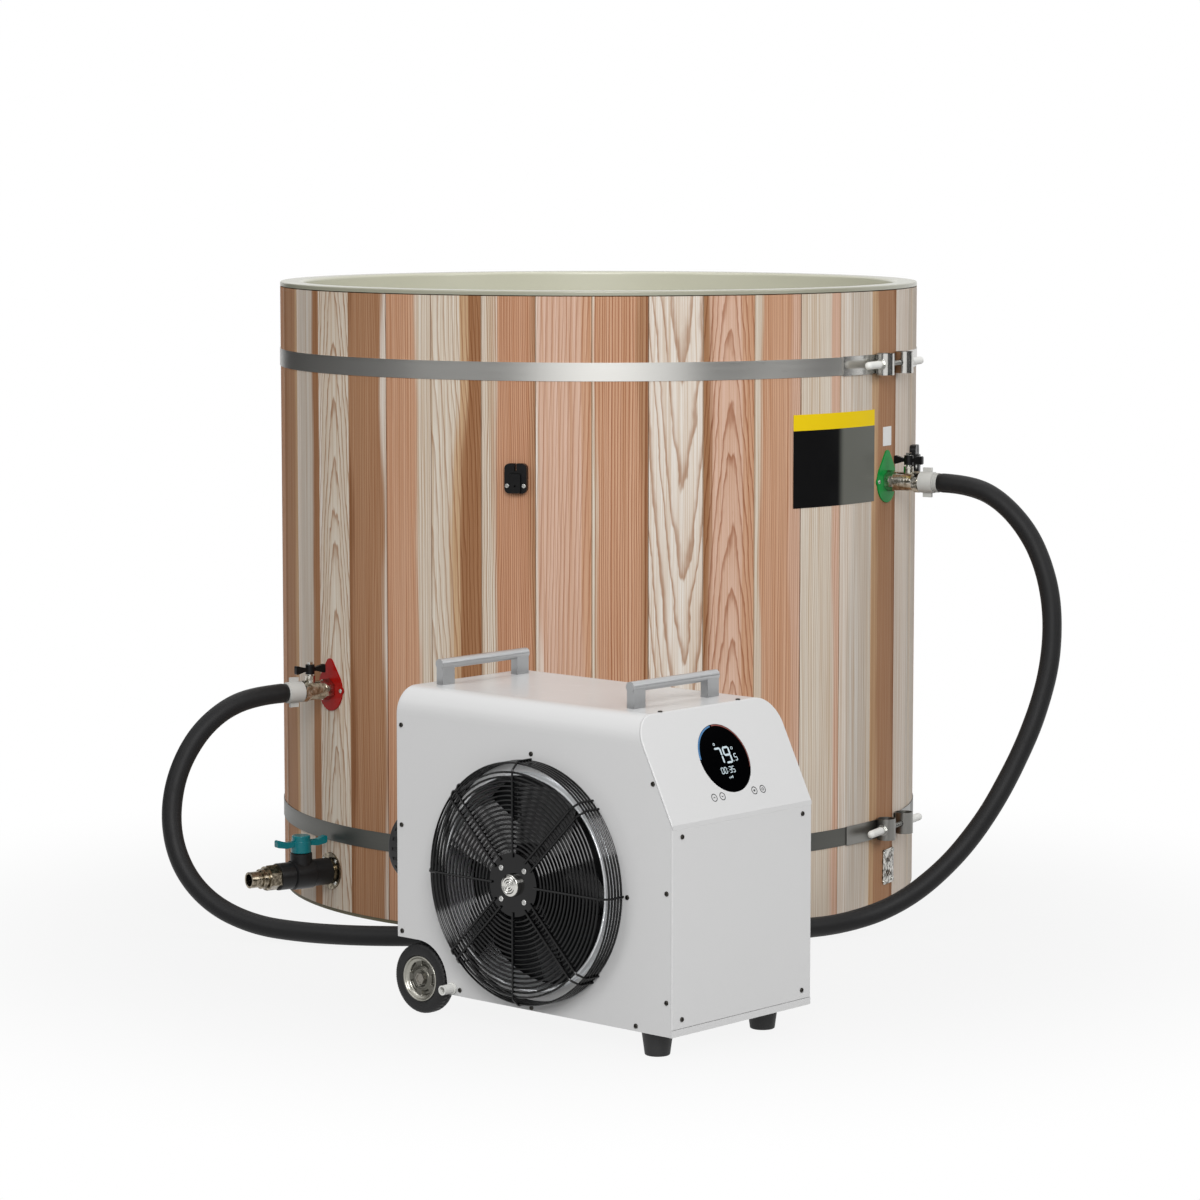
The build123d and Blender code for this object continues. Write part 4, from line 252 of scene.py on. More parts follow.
def stave_finish():
    """Oiled softwood: growth rings that a cone round the log's heart cuts into each board's face."""
    material, tree, shader = new_finish("stave_wood", Specular_IOR_Level=0.12)
    _, x, y, z = object_place(tree)
    azimuth = x.math("ARCTAN2", y * -1.0) * math.degrees(1)
    turn = (azimuth - FIRST_SEAM) / STAVE_TURN
    floor = turn.math("FLOOR")
    across = turn - floor
    stave = floor.math("FLOORED_MODULO", float(STAVES))
    own = outputs_of(tree, "TexWhiteNoise", {"W": stave}, noise_dimensions="1D")[0]
    rows = stave_rows()
    left, left_share = for_each_stave(tree, stave, [(*row[0][:3], row[1]) for row in rows])
    body, strength = for_each_stave(tree, stave, [(*row[2][:3], row[3]) for row in rows])
    right, right_share = for_each_stave(tree, stave, [(*row[4][:3], row[5]) for row in rows])
    grain, ring_width = for_each_stave(tree, stave, [
        (heart * SIDE_FACTOR + 0.5, deep * DEPTH_FACTOR, slope * TAPER_FACTOR + 0.5, ring * RING_FACTOR)
        for *_, (heart, deep, slope, ring) in rows])
    side, depth, taper = outputs_of(tree, "SeparateColor", {0: grain})
    side = (side - 0.5) / SIDE_FACTOR
    depth = depth / DEPTH_FACTOR
    taper = (taper - 0.5) / TAPER_FACTOR
    ring_width = ring_width / RING_FACTOR

    flat = (across - 0.5) * STAVE_WIDTH
    drift = noise(tree, vector(tree, flat * 9.0, z * 1.6 + own * 9.0, stave), detail=3.0)
    swirl = noise(tree, vector(tree, flat * 42.0, z * 9.0, stave + 7.0), detail=3.0, roughness=0.6)
    sideways = flat - side + (drift - 0.5) * 0.02
    radius = (sideways * sideways + depth * depth).math("SQRT")
    reach = radius + (z + own * 0.4) * taper + (drift - 0.5) * ring_width * 2.8
    reach = reach + (swirl - 0.5) * (taper.math("ABSOLUTE") * 0.13 + 0.0012)
    rings = reach / ring_width
    uneven = noise(tree, vector(tree, rings * 0.31, stave, own), detail=1.0)
    rings = rings + uneven * 2.2
    late = rings - rings.math("FLOOR")
    ending = rise(late, 0.9, 1.0) * -1.0 + 1.0
    line = rise(late, 0.58, 0.9) * ending
    shade = rise(late, 0.1, 0.9) * ending

    fibre = noise(tree, vector(tree, flat * 1500.0, z * 7.0, stave), detail=3.0, roughness=0.7)
    streak = noise(tree, vector(tree, flat * 130.0, z * 1.1, stave), detail=2.0)
    pin = noise(tree, vector(tree, flat * 520.0 + drift * 12.0, z * 1.7, stave), detail=2.0, roughness=0.6)
    patch = noise(tree, vector(tree, flat * 20.0, z * 3.0, stave), detail=2.0)
    wander = (noise(tree, vector(tree, z * 1.9, stave, own), detail=2.0) - 0.5) * 0.5
    ragged = across + wander + (streak - 0.5) * 0.22
    leftward = rise(ragged, left_share - 0.07, left_share + 0.05)
    rightward = rise(ragged, right_share * -1.0 + 0.96, right_share * -1.0 + 1.08)
    colour = blend(leftward, left, body)
    colour = blend(rightward, colour, right)
    colour = tinted(rise(streak, 0.3, 0.7), colour, (0.93, 0.88, 0.83))
    colour = tinted(shade * strength * 0.5, colour, (0.84, 0.72, 0.62))
    colour = tinted(line * strength * between(patch, 0.6, 1.3), colour, (0.52, 0.32, 0.21))
    colour = tinted(rise(pin, 0.44, 0.64), colour, (0.83, 0.73, 0.64))
    colour = tinted(between(fibre, -0.5, 1.2), colour, (0.84, 0.79, 0.74))
    edge = across.math("MINIMUM", across * -1.0 + 1.0) * STAVE_WIDTH
    seam = rise(edge, 0.0003, 0.0013)
    colour = blend(seam, blend(own, tone(104, 68, 46), tone(190, 162, 134)), colour)
    dress(shader, colour, between(fibre, 0.52, 0.7), line * 0.5 + fibre, 0.00025)
    return material


paint_with(["staves", "bored_staves"], stave_finish())


# Foam and base board.
# Sprayed foam fills the space between the boards and the liner, and a painted board closes the tub's foot.
# Both are hidden but for the board's edge, which shows as a thin olive line at the floor.
BLACK = (0.0, 0.0, 0.0, 1.0)


def effect(name, inputs, outputs):
    """A shader node group with named inputs and outputs. Gives the group, its inputs' signals and its end."""
    group = bpy.data.node_groups.new(name, "ShaderNodeTree")
    for label, kind, value in inputs:
        socket = group.interface.new_socket(label, in_out="INPUT", socket_type="NodeSocket" + kind)
        if value is not None:
            socket.default_value = value
    for label, kind in outputs:
        group.interface.new_socket(label, in_out="OUTPUT", socket_type="NodeSocket" + kind)
    start = group.nodes.new("NodeGroupInput")
    end = group.nodes.new("NodeGroupOutput")
    return group, [Signal(group, socket) for socket in start.outputs[:-1]], end


def placed_effect(tree, group, inputs):
    """An effect with its inputs fed."""
    made = tree.nodes.new("ShaderNodeGroup")
    made.node_tree = group
    for name, value in inputs.items():
        feed(value, made.inputs[name])
    return [Signal(tree, socket) for socket in made.outputs]


def uneven_surface():
    """Effect: slow blotches, handling marks and a fine speckle, as any moulded or painted surface has.
    Gives a colour, a roughness and a height for relief."""
    group, (place, colour, shade, roughness, spread, fine), end = effect(
        "uneven surface",
        [("Place", "Vector", None), ("Colour", "Color", None), ("Shade", "Float", 0.06),
         ("Roughness", "Float", 0.4), ("Spread", "Float", 0.1), ("Fine", "Float", 900.0)],
        [("Colour", "Color"), ("Roughness", "Float"), ("Height", "Float")])
    blotch = noise(group, place, 9.0, 4.0, 0.6)
    speckle = noise(group, place, fine, 2.0, 0.6)
    marks = rise(noise(group, place, 38.0, 3.0, 0.7), 0.55, 0.75)
    share = (blotch * 0.6 + speckle * 0.4) * shade
    feed(blend(share, colour, BLACK), end.inputs[0])
    feed(roughness + (blotch - 0.5) * spread + marks * spread * 0.5, end.inputs[1])
    feed(speckle + blotch * 0.5, end.inputs[2])
    return group


UNEVEN = uneven_surface()


def weathered(tree, place, colour, shade, roughness, spread, fine):
    """Colour, roughness and height of an uneven surface."""
    return placed_effect(tree, UNEVEN, {"Place": place, "Colour": colour, "Shade": shade,
                                        "Roughness": roughness, "Spread": spread, "Fine": fine})


def plain_finish(name, colour, roughness, shade=0.08, spread=0.12, fine=900.0, relief=0.00004, **constants):
    """A moulded, sprayed or cast surface with blotches, handling marks and fine relief."""
    material, tree, shader = new_finish(name, **constants)
    look = weathered(tree, object_place(tree)[0], colour, shade, roughness, spread, fine)
    dress(shader, *look, relief)
    return material


paint_with(["foam_insulation"],
           plain_finish("sprayed_foam", tone(214, 196, 146), 0.9, 0.3, 0.1, 260.0, 0.001))
paint_with(["base_plate"],
           plain_finish("base_board_paint", tone(96, 90, 66), 0.6, 0.3, 0.2, 500.0, 0.0002))


# Liner.
# One vacuum-formed well of sage-grey acrylic with a lip that rests over the tops of the boards.
# Its surface is smooth and glossy, with a very slow waviness from forming. Below the lip it is painted
# lighter, as painted light in the shaded well.
LIP_EDGE = (0.4985, 0.5035)


def inside_of(radius, inner, outer):
    """A smooth step from 1 at the inner radius to 0 at the outer one."""
    return rise(radius * -1.0, -outer, -inner)


def liner_finish():
    """Glossy acrylic: sage grey on the lip, and painted lighter below the lip's inner edge, as painted light
    against the well's shade.
    """
    material, tree, shader = new_finish("sage_acrylic", Coat_Weight=0.3, Coat_Roughness=0.2)
    point, x, y, _ = object_place(tree)
    painted_light_inside = inside_of((x * x + y * y).math("SQRT"), *LIP_EDGE)
    # Painted light: the inner wall takes a lighter grey than the lip, to make up for the shade inside the
    # well.
    colour = blend(painted_light_inside, tone(160, 159, 141), tone(202, 201, 182))
    look = weathered(tree, point, colour, shade=0.1, roughness=0.3, spread=0.1, fine=420.0)
    dress(shader, *look, 0.00006)
    return material


paint_with(["tub_liner"], liner_finish())


# Hoops and clamps.
# Flat straps of stainless steel, brushed along their length, drawn tight by a bolt between two rolled loops.
# A wider tail lies under each clamp. White rubber caps cover the bolt's ends.
def brushed_metal():
    """Effect: hair lines along one direction. The place is scaled so that they run along its first axis."""
    group, (place, colour, shade, roughness, spread), end = effect(
        "brushed metal",
        [("Place", "Vector", None), ("Colour", "Color", None), ("Shade", "Float", 0.2),
         ("Roughness", "Float", 0.3), ("Spread", "Float", 0.15)],
        [("Colour", "Color"), ("Roughness", "Float"), ("Height", "Float")])
    hair = noise(group, place, 1.0, 4.0, 0.75)
    cloud = noise(group, place, 0.02, 3.0, 0.5)
    feed(blend((hair * 0.6 + cloud * 0.4) * shade, colour, BLACK), end.inputs[0])
    feed(roughness + (hair - 0.5) * spread + (cloud - 0.5) * spread, end.inputs[1])
    feed(hair, end.inputs[2])
    return group


BRUSHED = brushed_metal()
BETWEEN_HOOPS = (0.45, 0.55)


def round_tub_place(tree, along, other):
    """Place on a strap round the tub: slow along the strap and fine across it."""
    _, x, y, z = object_place(tree)
    azimuth = x.math("ARCTAN2", y * -1.0)
    radius = (x * x + y * y).math("SQRT")
    return vector(tree, azimuth * along, z * other, radius * other)


def hoop_finish(name, low, rough_low, rough_high, along, other):
    """Brushed stainless steel: bright on the upper hoop; rougher on the lower one and painted darker there,
    as painted shade.
    """
    material, tree, shader = new_finish(name, Metallic=1.0)
    upper = rise(object_place(tree)[3], *BETWEEN_HOOPS)
    look = placed_effect(tree, BRUSHED, {
        # Painted shade: below the gap between the hoops the steel takes the darker colour.
        "Place": round_tub_place(tree, along, other), "Colour": blend(upper, low, tone(204, 203, 199)),
        "Shade": 0.2, "Roughness": between(upper, rough_low, rough_high), "Spread": 0.15})
    dress(shader, *look, 0.00002)
    return material


# The darker colours given for the lower hoop and its loops are painted shade.
paint_with(["hoop_straps"], hoop_finish("strap_steel", tone(100, 100, 96), 0.44, 0.3, 9.0, 2600.0))
paint_with(["clamp_brackets"], hoop_finish("loop_steel", tone(136, 135, 131), 0.34, 0.2, 30.0, 1500.0))
ZINC = plain_finish("zinc_plate", tone(196, 196, 192), 0.28, 0.25, 0.2, 700.0, 0.00003, Metallic=1.0)
CLAMP_TURN = math.radians(61.7)
THREAD_PITCH = 0.00125


def thread_finish():
    """Zinc with the ridges of a screw thread, square to the bolts, and painted shade in the grooves between
    them.
    """
    material, tree, shader = new_finish("threaded_zinc", Metallic=1.0)
    point, x, y, _ = object_place(tree)
    along = x * math.cos(CLAMP_TURN) + y * math.sin(CLAMP_TURN)
    ridge = (along * (2 * math.pi / THREAD_PITCH)).math("SINE") * 0.5 + 0.5
    colour, rough, _ = weathered(tree, point, tone(190, 190, 186), shade=0.25, roughness=0.28, spread=0.2,
                                 fine=700.0)
    # Painted shade: the thread's grooves take a dark grey, the ridges the zinc's colour.
    dress(shader, blend(ridge, tone(84, 84, 82), colour), rough, ridge, 0.0004)
    return material


paint_with(["clamp_bolts"], thread_finish())
paint_with(["clamp_nuts", "fitting_screws"], ZINC)
paint_with(["clamp_caps"], plain_finish("white_cap_rubber", tone(232, 232, 228), 0.5))


# Lid latches, notice panel and vent.
# Four black nylon latch receivers are screwed to the boards. A printed film panel and a small white sticker
# are bare of words here. A cast, chromed vent plate lets the foam breathe.
BLACK_NYLON = plain_finish("black_nylon", tone(9, 9, 10), 0.34, 0.3, 0.18, 1400.0, 0.00005,
                           Specular_IOR_Level=0.22)
paint_with(["latch_receivers"], BLACK_NYLON)
BAND_HEIGHT = 0.7949
BAND_EDGE = 0.0002
STICKER_FROM = 58.0
# Where the painted reflection on the black film starts and ends, in degrees round the tub.
PAINTED_REFLECTION_EDGE = (45.5, 47.5)


def film_finish():
    """Printed film: black below, a yellow band above, and white on the sticker beside it. The black's right
    part is a lighter grey, a painted reflection.
    """
    material, tree, shader = new_finish("notice_film", Specular_IOR_Level=0.08)
    point, x, y, z = object_place(tree)
    azimuth = x.math("ARCTAN2", y * -1.0) * math.degrees(1)
    band = rise(z, BAND_HEIGHT - BAND_EDGE, BAND_HEIGHT + BAND_EDGE)
    sticker = azimuth.math("GREATER_THAN", STICKER_FROM)
    # Painted reflection: the black turns a lighter grey towards the sticker.
    painted_reflection = rise(azimuth, *PAINTED_REFLECTION_EDGE)
    colour = blend(band, blend(painted_reflection, tone(12, 12, 13), tone(102, 103, 97)), tone(236, 203, 22))
    colour = blend(sticker, colour, tone(228, 228, 226))
    look = weathered(tree, point, colour, shade=0.08, roughness=0.3, spread=0.1, fine=600.0)
    dress(shader, *look, 0.00003)
    return material


paint_with(["label_panels"], film_finish())


def cast_finish(name, low, high, roughness):
    """Plated casting: lumps from the sand mould, with a painted highlight where they stand proud and painted
    shade in the hollows.
    """
    material, tree, shader = new_finish(name, Metallic=1.0)
    point = object_place(tree)[0]
    lumps = noise(tree, point, 150.0, 3.0, 0.6)
    # Painted highlight and shade: the colour follows the lumps, light where they stand proud and dark in the
    # hollows.
    colour = blend(rise(lumps, 0.38, 0.6), low, high)
    colour, rough, height = weathered(tree, point, colour, 0.2, roughness, spread=0.15, fine=620.0)
    dress(shader, colour, rough, rise(lumps, 0.3, 0.7) + height * 0.1, 0.00011)
    return material


# The vent plate's dark mottle is a painted reflection.
paint_with(["vent_plate"], cast_finish("vent_chrome", tone(96, 93, 86), tone(206, 204, 198), 0.14))


# Wall fittings and service valves.
# Nickel-plated brass ball valves screw onto shanks through the wall, over an enamelled plate, red for the
# outlet and green for the inlet. A butterfly handle turns each ball. A grey nylon union holds the hose tail.
paint_with(["outlet_wall_fitting", "outlet_valve_body", "inlet_wall_fitting", "inlet_valve_body",
            "hose_ports"],
           cast_finish("nickel_plate", tone(160, 153, 139), tone(216, 212, 202), 0.18))
paint_with(["outlet_plate"], plain_finish("red_enamel", tone(158, 12, 5), 0.3, 0.2, 0.1,
                                          Specular_IOR_Level=0.1))
paint_with(["inlet_plate"], plain_finish("green_enamel", tone(2, 140, 58), 0.3, 0.2, 0.1,
                                         Specular_IOR_Level=0.1))
paint_with(["outlet_union", "inlet_union", "drain_ball_stem"],
           plain_finish("grey_nylon", tone(196, 196, 192), 0.5, 0.12, 0.15, 1100.0))
paint_with(["outlet_handle", "inlet_handle"], BLACK_NYLON)
paint_with(["outlet_ball_stem", "inlet_ball_stem"],
           plain_finish("chrome", tone(206, 205, 200), 0.16, 0.15, 0.12, 500.0, 0.00002, Metallic=1.0))


# Drain.
# A steel flange carries a black plastic ball valve with a teal butterfly handle and a nickel hose nipple.
# The flange's dark tones are partly its bronze-grey colour and partly a painted reflection of dark
# surroundings.
paint_with(["drain_flange", "drain_wall_fitting"],
           cast_finish("flange_dark_reflection", tone(84, 76, 62), tone(150, 140, 122), 0.28))
paint_with(["drain_nipple"], cast_finish("bronze_nickel", tone(98, 90, 76), tone(162, 152, 134), 0.24))
paint_with(["drain_valve_body"], plain_finish("drain_plastic", tone(24, 24, 25), 0.4, 0.3, 0.15, 1000.0,
                                              Specular_IOR_Level=0.25))
paint_with(["drain_handle"], plain_finish("teal_plastic", tone(0, 116, 124), 0.2, 0.25, 0.12, 300.0, 0.0002,
                                          Specular_IOR_Level=0.35))


# Chiller casing.
# Folded steel sheet, powder-coated gloss white: one wrap for front, top and back, and flat end panels.
# The tray below carries the machinery. Small screws hold the panels; their dark tone is painted shade of
# their recesses.
WHITE_PAINT = plain_finish("white_powder_coat", tone(208, 208, 208), 0.24, 0.03, 0.06, 520.0, 0.00004,
                           Specular_IOR_Level=0.4, Coat_Weight=0.08, Coat_Roughness=0.08)
paint_with(["end_panel", "display_panel", "left_panel", "base_pan"], WHITE_PAINT)
CASE_ORIGIN = np.array((-0.2901, -1.0575, 0.0))
CASE_TURN = math.radians(-42.2)
CASE_LENGTHWISE = np.array((math.cos(CASE_TURN), math.sin(CASE_TURN), 0.0))
CASE_INWARD = np.array((-math.sin(CASE_TURN), math.cos(CASE_TURN), 0.0))


def case_point(along, inward, up):
    """Points of the row's frame from places along the casing, inward from its fan face and up."""
    along, inward, up = np.broadcast_arrays(along, inward, up)
    return (CASE_ORIGIN + along[..., None] * CASE_LENGTHWISE + inward[..., None] * CASE_INWARD
            + up[..., None] * np.array((0.0, 0.0, 1.0)))


def case_radius(tree, along, up):
    """Distance from an axis that runs inward through the fan face."""
    point, x, y, z = object_place(tree)
    sideways = (x - float(CASE_ORIGIN[0])) * float(CASE_LENGTHWISE[0]) \
        + (y - float(CASE_ORIGIN[1])) * float(CASE_LENGTHWISE[1]) - along
    raised = z - up
    return point, (sideways * sideways + raised * raised).math("SQRT")


FAN_ALONG = 0.2655
FAN_UP = 0.221
RING_EDGE = (0.1538, 0.1545)
MIDDLE_SCREWS_EDGE = (0.04, 0.045)


def wrap_finish():
    """The same white paint on the wrap, with a bare bright ring round the fan."""
    material, tree, shader = new_finish("white_wrap", Specular_IOR_Level=0.25, Coat_Weight=0.06,
                                        Coat_Roughness=0.08)
    point, radius = case_radius(tree, FAN_ALONG, FAN_UP)
    ring = inside_of(radius, *RING_EDGE)
    colour = blend(ring, tone(208, 208, 208), tone(236, 238, 240))
    look = weathered(tree, point, colour, shade=0.03, roughness=0.24, spread=0.06, fine=520.0)
    dress(shader, *look, 0.00004)
    feed(ring * 0.5, shader.inputs["Metallic"])
    return material


paint_with(["wrap_shell"], wrap_finish())


def screw_finish():
    """Screws in the sheets given a dark tone, as painted shade of their recesses, and bright ones in the
    middle of the guard.
    """
    material, tree, shader = new_finish("case_screws", Metallic=1.0)
    point, radius = case_radius(tree, FAN_ALONG, FAN_UP)
    # Painted shade: the screws in the sheets take a dark grey for the shade in their cross recesses.
    colour = blend(inside_of(radius, *MIDDLE_SCREWS_EDGE), tone(64, 62, 58), tone(206, 206, 204))
    look = weathered(tree, point, colour, shade=0.3, roughness=0.3, spread=0.2, fine=900.0)
    dress(shader, *look, 0.00003)
    return material


paint_with(["panel_screws"], screw_finish())
paint_with(["filter_housing", "condensate_nozzle"], plain_finish("white_plastic", tone(226, 226, 222), 0.4))
paint_with(["filter_cap", "power_inlet", "rubber_feet", "water_pump"],
           plain_finish("black_rubber", tone(24, 24, 25), 0.6, 0.3, 0.15, 800.0))


# Fan and guard.
# Black coated wires welded into a round guard, five swept blades on a motor cup, and a bright bearing cap.
CAP_GROOVE_PITCH = 0.0036
paint_with(["fan_grille"], plain_finish("wire_coating", tone(4, 4, 5), 0.12, 0.3, 0.08, 700.0, 0.00002,
                                        Specular_IOR_Level=0.28))
paint_with(["fan_rotor"], plain_finish("blade_plastic", tone(12, 12, 14), 0.16, 0.3, 0.15, 700.0,
                                       Specular_IOR_Level=0.8))


def cap_finish():
    """Bright bearing cap with turned rings round its axis."""
    material, tree, shader = new_finish("turned_cap", Metallic=1.0)
    point, radius = case_radius(tree, FAN_ALONG, FAN_UP)
    groove = (radius * (2 * math.pi / CAP_GROOVE_PITCH)).math("SINE") * 0.5 + 0.5
    colour, rough, _ = weathered(tree, point, tone(214, 213, 208), shade=0.15, roughness=0.14, spread=0.1,
                                 fine=900.0)
    dress(shader, colour, rough, groove, 0.0006)
    return material


paint_with(["fan_motor"], cap_finish())


# Machinery inside the chiller.
# A finned coil behind the fan, a compressor can, an upright round heat exchanger and a small control board.
# The coil is near black as painted shade: the inside of the casing behind the fan is dark.
paint_with(["condenser_coil"], plain_finish("coil_fins", tone(26, 26, 28), 0.5, 0.3, 0.2, Metallic=0.3))
paint_with(["compressor", "heat_exchanger"], plain_finish("machine_enamel", tone(38, 38, 40), 0.4, 0.3, 0.2))
paint_with(["control_board"], plain_finish("circuit_board", tone(24, 84, 50), 0.4, 0.3, 0.2, 300.0))


# Display.
# A round black glass lies in the sloping panel, with lit arcs and plain digits behind it.
paint_with(["display_glass"], plain_finish("black_glass", tone(2, 2, 3), 0.1, 0.3, 0.03, 300.0, 0.000005,
                                           Specular_IOR_Level=0.05))


def linked(name, data):
    """A new object in the scene."""
    made = bpy.data.objects.new(name, data)
    bpy.context.scene.collection.objects.link(made)
    return made


def add_piece(name, points, faces, body, material, smooth=True):
    """Links a new mesh piece that rides on a body."""
    mesh = bpy.data.meshes.new(name)
    mesh.from_pydata(np.asarray(points).tolist(), [], [tuple(face) for face in faces])
    mesh.materials.append(material)
    mesh.polygons.foreach_set("use_smooth", np.full(len(mesh.polygons), smooth))
    mesh.update()
    piece = linked(name, mesh)
    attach(piece, body)
    return piece


# The sloping face: its top edge, its two directions, and the glass's place on it
SLOPE_TOP = np.array((0.456, 0.0, 0.471))
SLOPE_LENGTH = 0.15876
SLOPE_UP = np.array((-0.071, 0.0, 0.142)) / SLOPE_LENGTH
SLOPE_OUT = np.array((0.142, 0.0, 0.071)) / SLOPE_LENGTH
GLASS_DOWN = 0.0778
GLASS_INWARD = 0.1505
SIGN_LIFT = -0.00015
ICON_LIFT = 0.00016
SIGN_THICKNESS = 0.00015


def strip(middle, radius, width, start, end, steps=48):
    """An arc of a flat ring, half its width to each side of its radius, from a start angle to an end one."""
    angles = np.radians(np.linspace(start, end, steps + 1))
    thin = np.broadcast_to(np.asarray(width), angles.shape) / 2
    rays = np.stack([np.cos(angles), np.sin(angles)], axis=-1)
    points = np.r_[middle + rays * (radius - thin)[:, None], middle + rays * (radius + thin)[:, None]]
    here = np.arange(steps)
    side = steps + 1
    return points, np.stack([here, here + side, here + side + 1, here + 1], axis=-1)


def bar(start, end, width):
    """A straight stroke of this width between two places, with pointed ends."""
    start, end = np.asarray(start, float), np.asarray(end, float)
    along = (end - start) / np.linalg.norm(end - start)
    out = np.array((-along[1], along[0])) * width / 2
    tip = along * width / 2
    points = np.array([start, start + tip - out, end - tip - out, end, end - tip + out, start + tip + out])
    return points, np.array([[0, 1, 2, 3], [0, 3, 4, 5]])


SEGMENTS = {"0": "abcdef", "3": "abcdg", "5": "acdfg", "7": "abc", "9": "abcdfg"}


def digit(sign, middle, height):
    """Strokes of a seven-bar digit round its middle."""
    half = height / 2
    wide = height * 0.26
    width = height * 0.13
    ends = {"a": ((-wide, half), (wide, half)), "b": ((wide, half), (wide, 0)),
            "c": ((wide, 0), (wide, -half)), "d": ((-wide, -half), (wide, -half)),
            "e": ((-wide, 0), (-wide, -half)), "f": ((-wide, half), (-wide, 0)), "g": ((-wide, 0), (wide, 0))}
    return [bar(np.add(middle, ends[key][0]), np.add(middle, ends[key][1]), width) for key in SEGMENTS[sign]]


def flat_piece(name, shapes, lift, material):
    """Thin printed or lit shapes on the sloping face, given across and up from the glass's middle."""
    points = []
    faces = []
    for shape_points, shape_faces in shapes:
        faces += (shape_faces + sum(len(part) for part in points)).tolist()
        points.append(shape_points)
    flat = np.concatenate(points)
    place = SLOPE_TOP + (flat[:, 1:] - GLASS_DOWN) * SLOPE_UP + lift * SLOPE_OUT
    inward = GLASS_INWARD + flat[:, 0]
    piece = add_piece(name, case_point(place[:, 0], inward, place[:, 2]), faces, "body", material, False)
    wall = piece.modifiers.new("thickness", "SOLIDIFY")
    wall.thickness = SIGN_THICKNESS
    wall.offset = -1.0


def lit_finish(name, colour, strength):
    """Light that shines through the glass, a little uneven as behind a film."""
    material, tree, shader = new_finish(name, Roughness=0.4)
    uneven = noise(tree, object_place(tree)[0], 700.0, 2.0)
    feed(blend(uneven * 0.4, colour, BLACK), shader.inputs["Emission Color"])
    feed(blend(uneven * 0.4, (0.02, 0.02, 0.02, 1.0), BLACK), shader.inputs["Base Color"])
    shader.inputs["Emission Strength"].default_value = strength
    return material


# Digits: sign, place across and up from the glass's middle, and height
DIGITS = (("7", -0.0085, 0.004, 0.022), ("9", 0.0085, 0.004, 0.022), ("5", 0.0235, -0.001, 0.0095),
          ("0", -0.0125, -0.0175, 0.0085), ("0", -0.006, -0.0175, 0.0085), ("3", 0.004, -0.0175, 0.0085),
          ("5", 0.0105, -0.0175, 0.0085))
GAUGE_STEP = 0.0032
signs = []
for sign, across, up, height in DIGITS:
    signs += digit(sign, (across, up), height)
signs.append(bar((0.0165, -0.0062), (0.0186, -0.0062), 0.002))
signs.append(strip((0.0215, 0.0125), 0.0018, 0.0008, 0.0, 360.0, 24))
signs += [bar((-0.0012, -0.0155), (0.0, -0.0155), 0.0011), bar((-0.0012, -0.0195), (0.0, -0.0195), 0.0011)]
for step in range(3):
    across = -0.003 + step * GAUGE_STEP
    signs.append(bar((across, -0.03), (across, -0.0275 + step * 0.0008), 0.0018))
signs.append(strip((-0.0115, 0.0215), 0.0015, 0.0009, 0.0, 360.0, 20))
flat_piece("display_signs", signs, SIGN_LIFT, lit_finish("lit_white", tone(214, 232, 240), 1.0))
flat_piece("display_cold_arc", [strip((0.0, 0.0), 0.0484, np.linspace(0.0022, 0.003, 49), 98.0, 176.0)],
           SIGN_LIFT, lit_finish("lit_blue", tone(44, 132, 196), 0.8))
flat_piece("display_warm_arc", [strip((0.0, 0.0), 0.0487, np.linspace(0.0006, 0.0017, 49), -22.0, 94.0)],
           SIGN_LIFT, lit_finish("lit_red", tone(168, 62, 40), 0.7))

ICON_DROP = -0.0527
ICON_PLACES = (-0.0487, -0.0316, 0.0365, 0.0543)
ICON_RADIUS = 0.0052
ICON_LINE = 0.0012
icons = [strip((across, ICON_DROP), ICON_RADIUS, ICON_LINE, 0.0, 360.0, 40) for across in ICON_PLACES]
for across, way in zip(ICON_PLACES[:2], (1.0, -1.0)):
    tip = np.array((across, ICON_DROP + 0.0013 * way))
    icons += [bar(tip - (0.0018, 0.0022 * way), tip, 0.0009), bar(tip + (0.0018, -0.0022 * way), tip, 0.0009)]
for turn in (0.0, 60.0, 120.0):
    reach = 0.0023 * np.array((math.cos(math.radians(turn)), math.sin(math.radians(turn))))
    middle = np.array((ICON_PLACES[2], ICON_DROP))
    icons.append(bar(middle - reach, middle + reach, 0.0008))
icons.append(strip((ICON_PLACES[3], ICON_DROP), 0.002, 0.0008, -240.0, 60.0, 30))
icons.append(bar((ICON_PLACES[3], ICON_DROP + 0.0004), (ICON_PLACES[3], ICON_DROP + 0.0026), 0.0008))
flat_piece("panel_icons", icons, ICON_LIFT, plain_finish("grey_ink", tone(26, 27, 29), 0.5))


# Carrying handles.
# Two satin aluminium bars, each on two square posts that are screwed to the top of the casing.
paint_with(["left_handle", "right_handle"],
           plain_finish("satin_aluminium", tone(190, 191, 192), 0.38, 0.15, 0.12, 1500.0, 0.00003,
                        Metallic=1.0))


# Wheels.
# Solid rubber tyres with a blocky tread sit on pressed steel hubs with five pockets. Both hubs run on one
# axle through the tray, with a nut at each end.
WHEEL_ALONG = 0.043
WHEEL_UP = 0.051
CASE_DEEP = 0.297
WHEEL_WIDE = 0.025
TREAD_BLOCKS = 44
TREAD_EDGE = (0.0494, 0.0506)
GROOVE_DEPTH = 0.0014
MIDDLE_GROOVE_DEPTH = 0.001
RIB_EDGE = (0.0425, 0.044)
RIB_HEIGHT = 0.0003
POCKETS = 5
POCKET_DEPTH = 0.0045
POCKET_INNER_EDGE = (0.0185, 0.0192)
POCKET_OUTER_EDGE = (0.0246, 0.0253)
RIM_EDGE = (0.0245, 0.0262)

